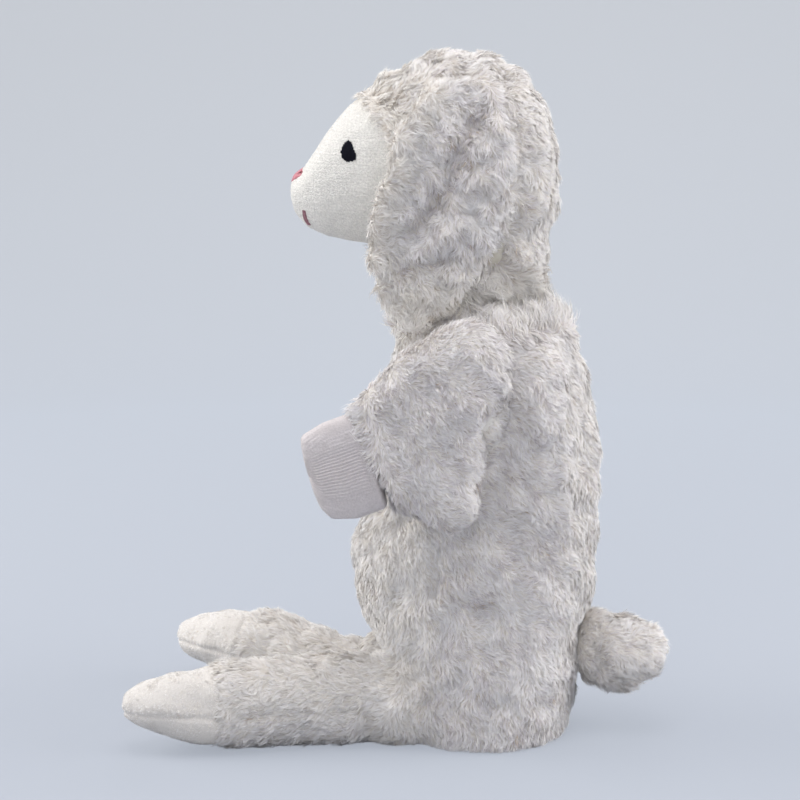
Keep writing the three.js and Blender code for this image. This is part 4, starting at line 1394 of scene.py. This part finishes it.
def make_legs():
    for side, label in SIDES:
        cover = [f"leg_{label}_upper", f"leg_{label}_sole"]
        cap = [f"toe_cap_{label}_upper", f"toe_cap_{label}_sole"]
        hip = joint_place(f"leg_{label}_swing")
        along = np.array([math.sin(LEG_SPLAY) * side, -math.cos(LEG_SPLAY), 0])
        skin = hull(f"leg_{label}_skin", cover + cap)
        remesh(skin, 0.0035, 3)
        distance = (points_of(skin) - hip) @ along / MM
        height = drawn(points_of(skin))[:, 2]
        sides = (np.abs(height - LEG_SEAM_Z) < PINNED) & (distance > 0)
        swell(skin, 0.0012, (np.abs(distance - CAP_FROM) < PINNED) | sides)
        subdivide(skin)
        subdivide(skin)
        co, normals = points_of(skin), normals_of(skin)
        distance = (co - hip) @ along / MM
        height = drawn(co)[:, 2]
        amount = -0.9 * bell(distance - CAP_FROM, 1.6)
        amount -= 0.7 * bell(height - LEG_SEAM_Z, 1.3) * smooth_step(-5, 10, distance)
        pucker = np.sin(distance * 2 * math.pi / 2.3) * bell(height - LEG_SEAM_Z - 2, 2.5)
        amount += 0.22 * pucker * smooth_step(CAP_FROM, CAP_FROM + 6, distance)
        co = co + normals * (amount * MM)[:, None]
        set_points(skin, shape_leg(co, hip, along, label))
        rumple(skin, 0.0005, 0.02)
        co = points_of(skin)
        co[:, 2] = np.maximum(co[:, 2], SOLE_Z)
        set_points(skin, co)
        toe = twin(skin, f"toe_cap_{label}_velour")
        seam = hip + along * CAP_FROM * MM
        slice_off(skin, tuple(seam), tuple(along))
        slice_off(toe, tuple(seam), tuple(-along))
        for piece, look, nodes in ((skin, "backing", cover + [f"leg_{label}_filling"]), (toe, "velour", cap)):
            piece.data.shade_smooth()
            wear(piece, look, f"leg_{label}")
            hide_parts(*nodes)

        def flow(points, along=along):
            return np.tile(along + np.array([0, 0, -0.25]), (len(points), 1))

        # Painted shade along the crease of the seam
        def tone(points):
            return 0.22 - 0.26 * bell(drawn(points)[:, 2] - LEG_SEAM_Z - 1, 2)

        # Painted cool shade: more cool strands below the seam, on the lower side
        def cool(points):
            return lerp(0.6, 0.2, smooth_step(-6, 6, drawn(points)[:, 2] - LEG_SEAM_Z))

        coat = Coat(flow, length=0.0052, lift=0.55, tone=tone, cool=cool)
        grow(f"leg_{label}_pile", skin, coat, riding(f"leg_{label}"))
        nap = Coat(flow, length=0.0012, density=3.6, width=0.0003, lift=0.8, tuft=0.0012)
        nap.tone, nap.cool = lambda p: 0.1, lambda p: 0.3
        grow(f"toe_cap_{label}_nap", toe, nap, riding(f"leg_{label}"))


# Sections of the tail across its length: y, lower and upper edge, half its width
TAIL_SECTIONS = [
    (51, 23, 49, 12),
    (53, 20, 51.5, 15),
    (57.6, 18.2, 50.8, 16.5),
    (64.5, 18.3, 49.2, 17),
    (70, 19.8, 46.8, 16.5),
    (75.5, 22.6, 45.2, 14.5),
    (79, 26.5, 42.8, 11),
    (80.8, 31, 39, 5),
]
TAIL_ROOT = ((0, 52, 36), (14.5, 10, 15.5))


def make_tail():
    segments = 40
    vertices = []
    for y, low, high, half in TAIL_SECTIONS:
        for i in range(segments):
            angle = 2 * math.pi * i / segments
            z = (low + high) / 2 + (high - low) / 2 * math.sin(angle)
            vertices.append(at(half * math.cos(angle), y, z))
    faces = ring_faces(len(TAIL_SECTIONS), segments, inwards=True)
    faces.append(list(range(segments)))
    faces.append([(len(TAIL_SECTIONS) - 1) * segments + i for i in reversed(range(segments))])
    skin = new_mesh("tail_skin", vertices, faces)
    remesh(skin, 0.003, 5)
    root = at(0, 58, 0)[1]
    swell(skin, 0.0010, points_of(skin)[:, 1] < root)
    subdivide(skin)
    rumple(skin, 0.0005, 0.014)
    wear(skin, "backing", "tail")
    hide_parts("tail_cover", "tail_filling")
    coat = Coat(brushed(0, 1, -0.2), length=0.0055, tuft=0.0018, swirl=0.5, tone=lambda p: 0.2)
    grow("tail_pile", skin, coat, riding("tail"))

    centre, radii = TAIL_ROOT
    root = blob(centre, radii)
    root.name = "tail_root_skin"
    remesh(root, 0.0015, 2)

    def settle(piece):
        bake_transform(piece)

    paint(root, "backing")
    settle(root)

    def where(points, normals):
        y = drawn(points)[:, 1]
        return (y > 46) * (y < 57) * 1.0

    grow("tail_root_pile", root, Coat(brushed(0, 1, -0.4), where=where), settle)


def finish_frame_nodes():
    for name in ("hand_cavity_lining", "hem_facing", "finger_pocket_lining"):
        paint(frame["nodes"][name], "lining")


make_camera()
make_backdrop()
make_light()
make_body()
make_ruff()
make_head()
make_face()
make_ears()
make_arms()
make_legs()
make_tail()
finish_frame_nodes()

scene = bpy.context.scene
scene.view_settings.view_transform = "Standard"
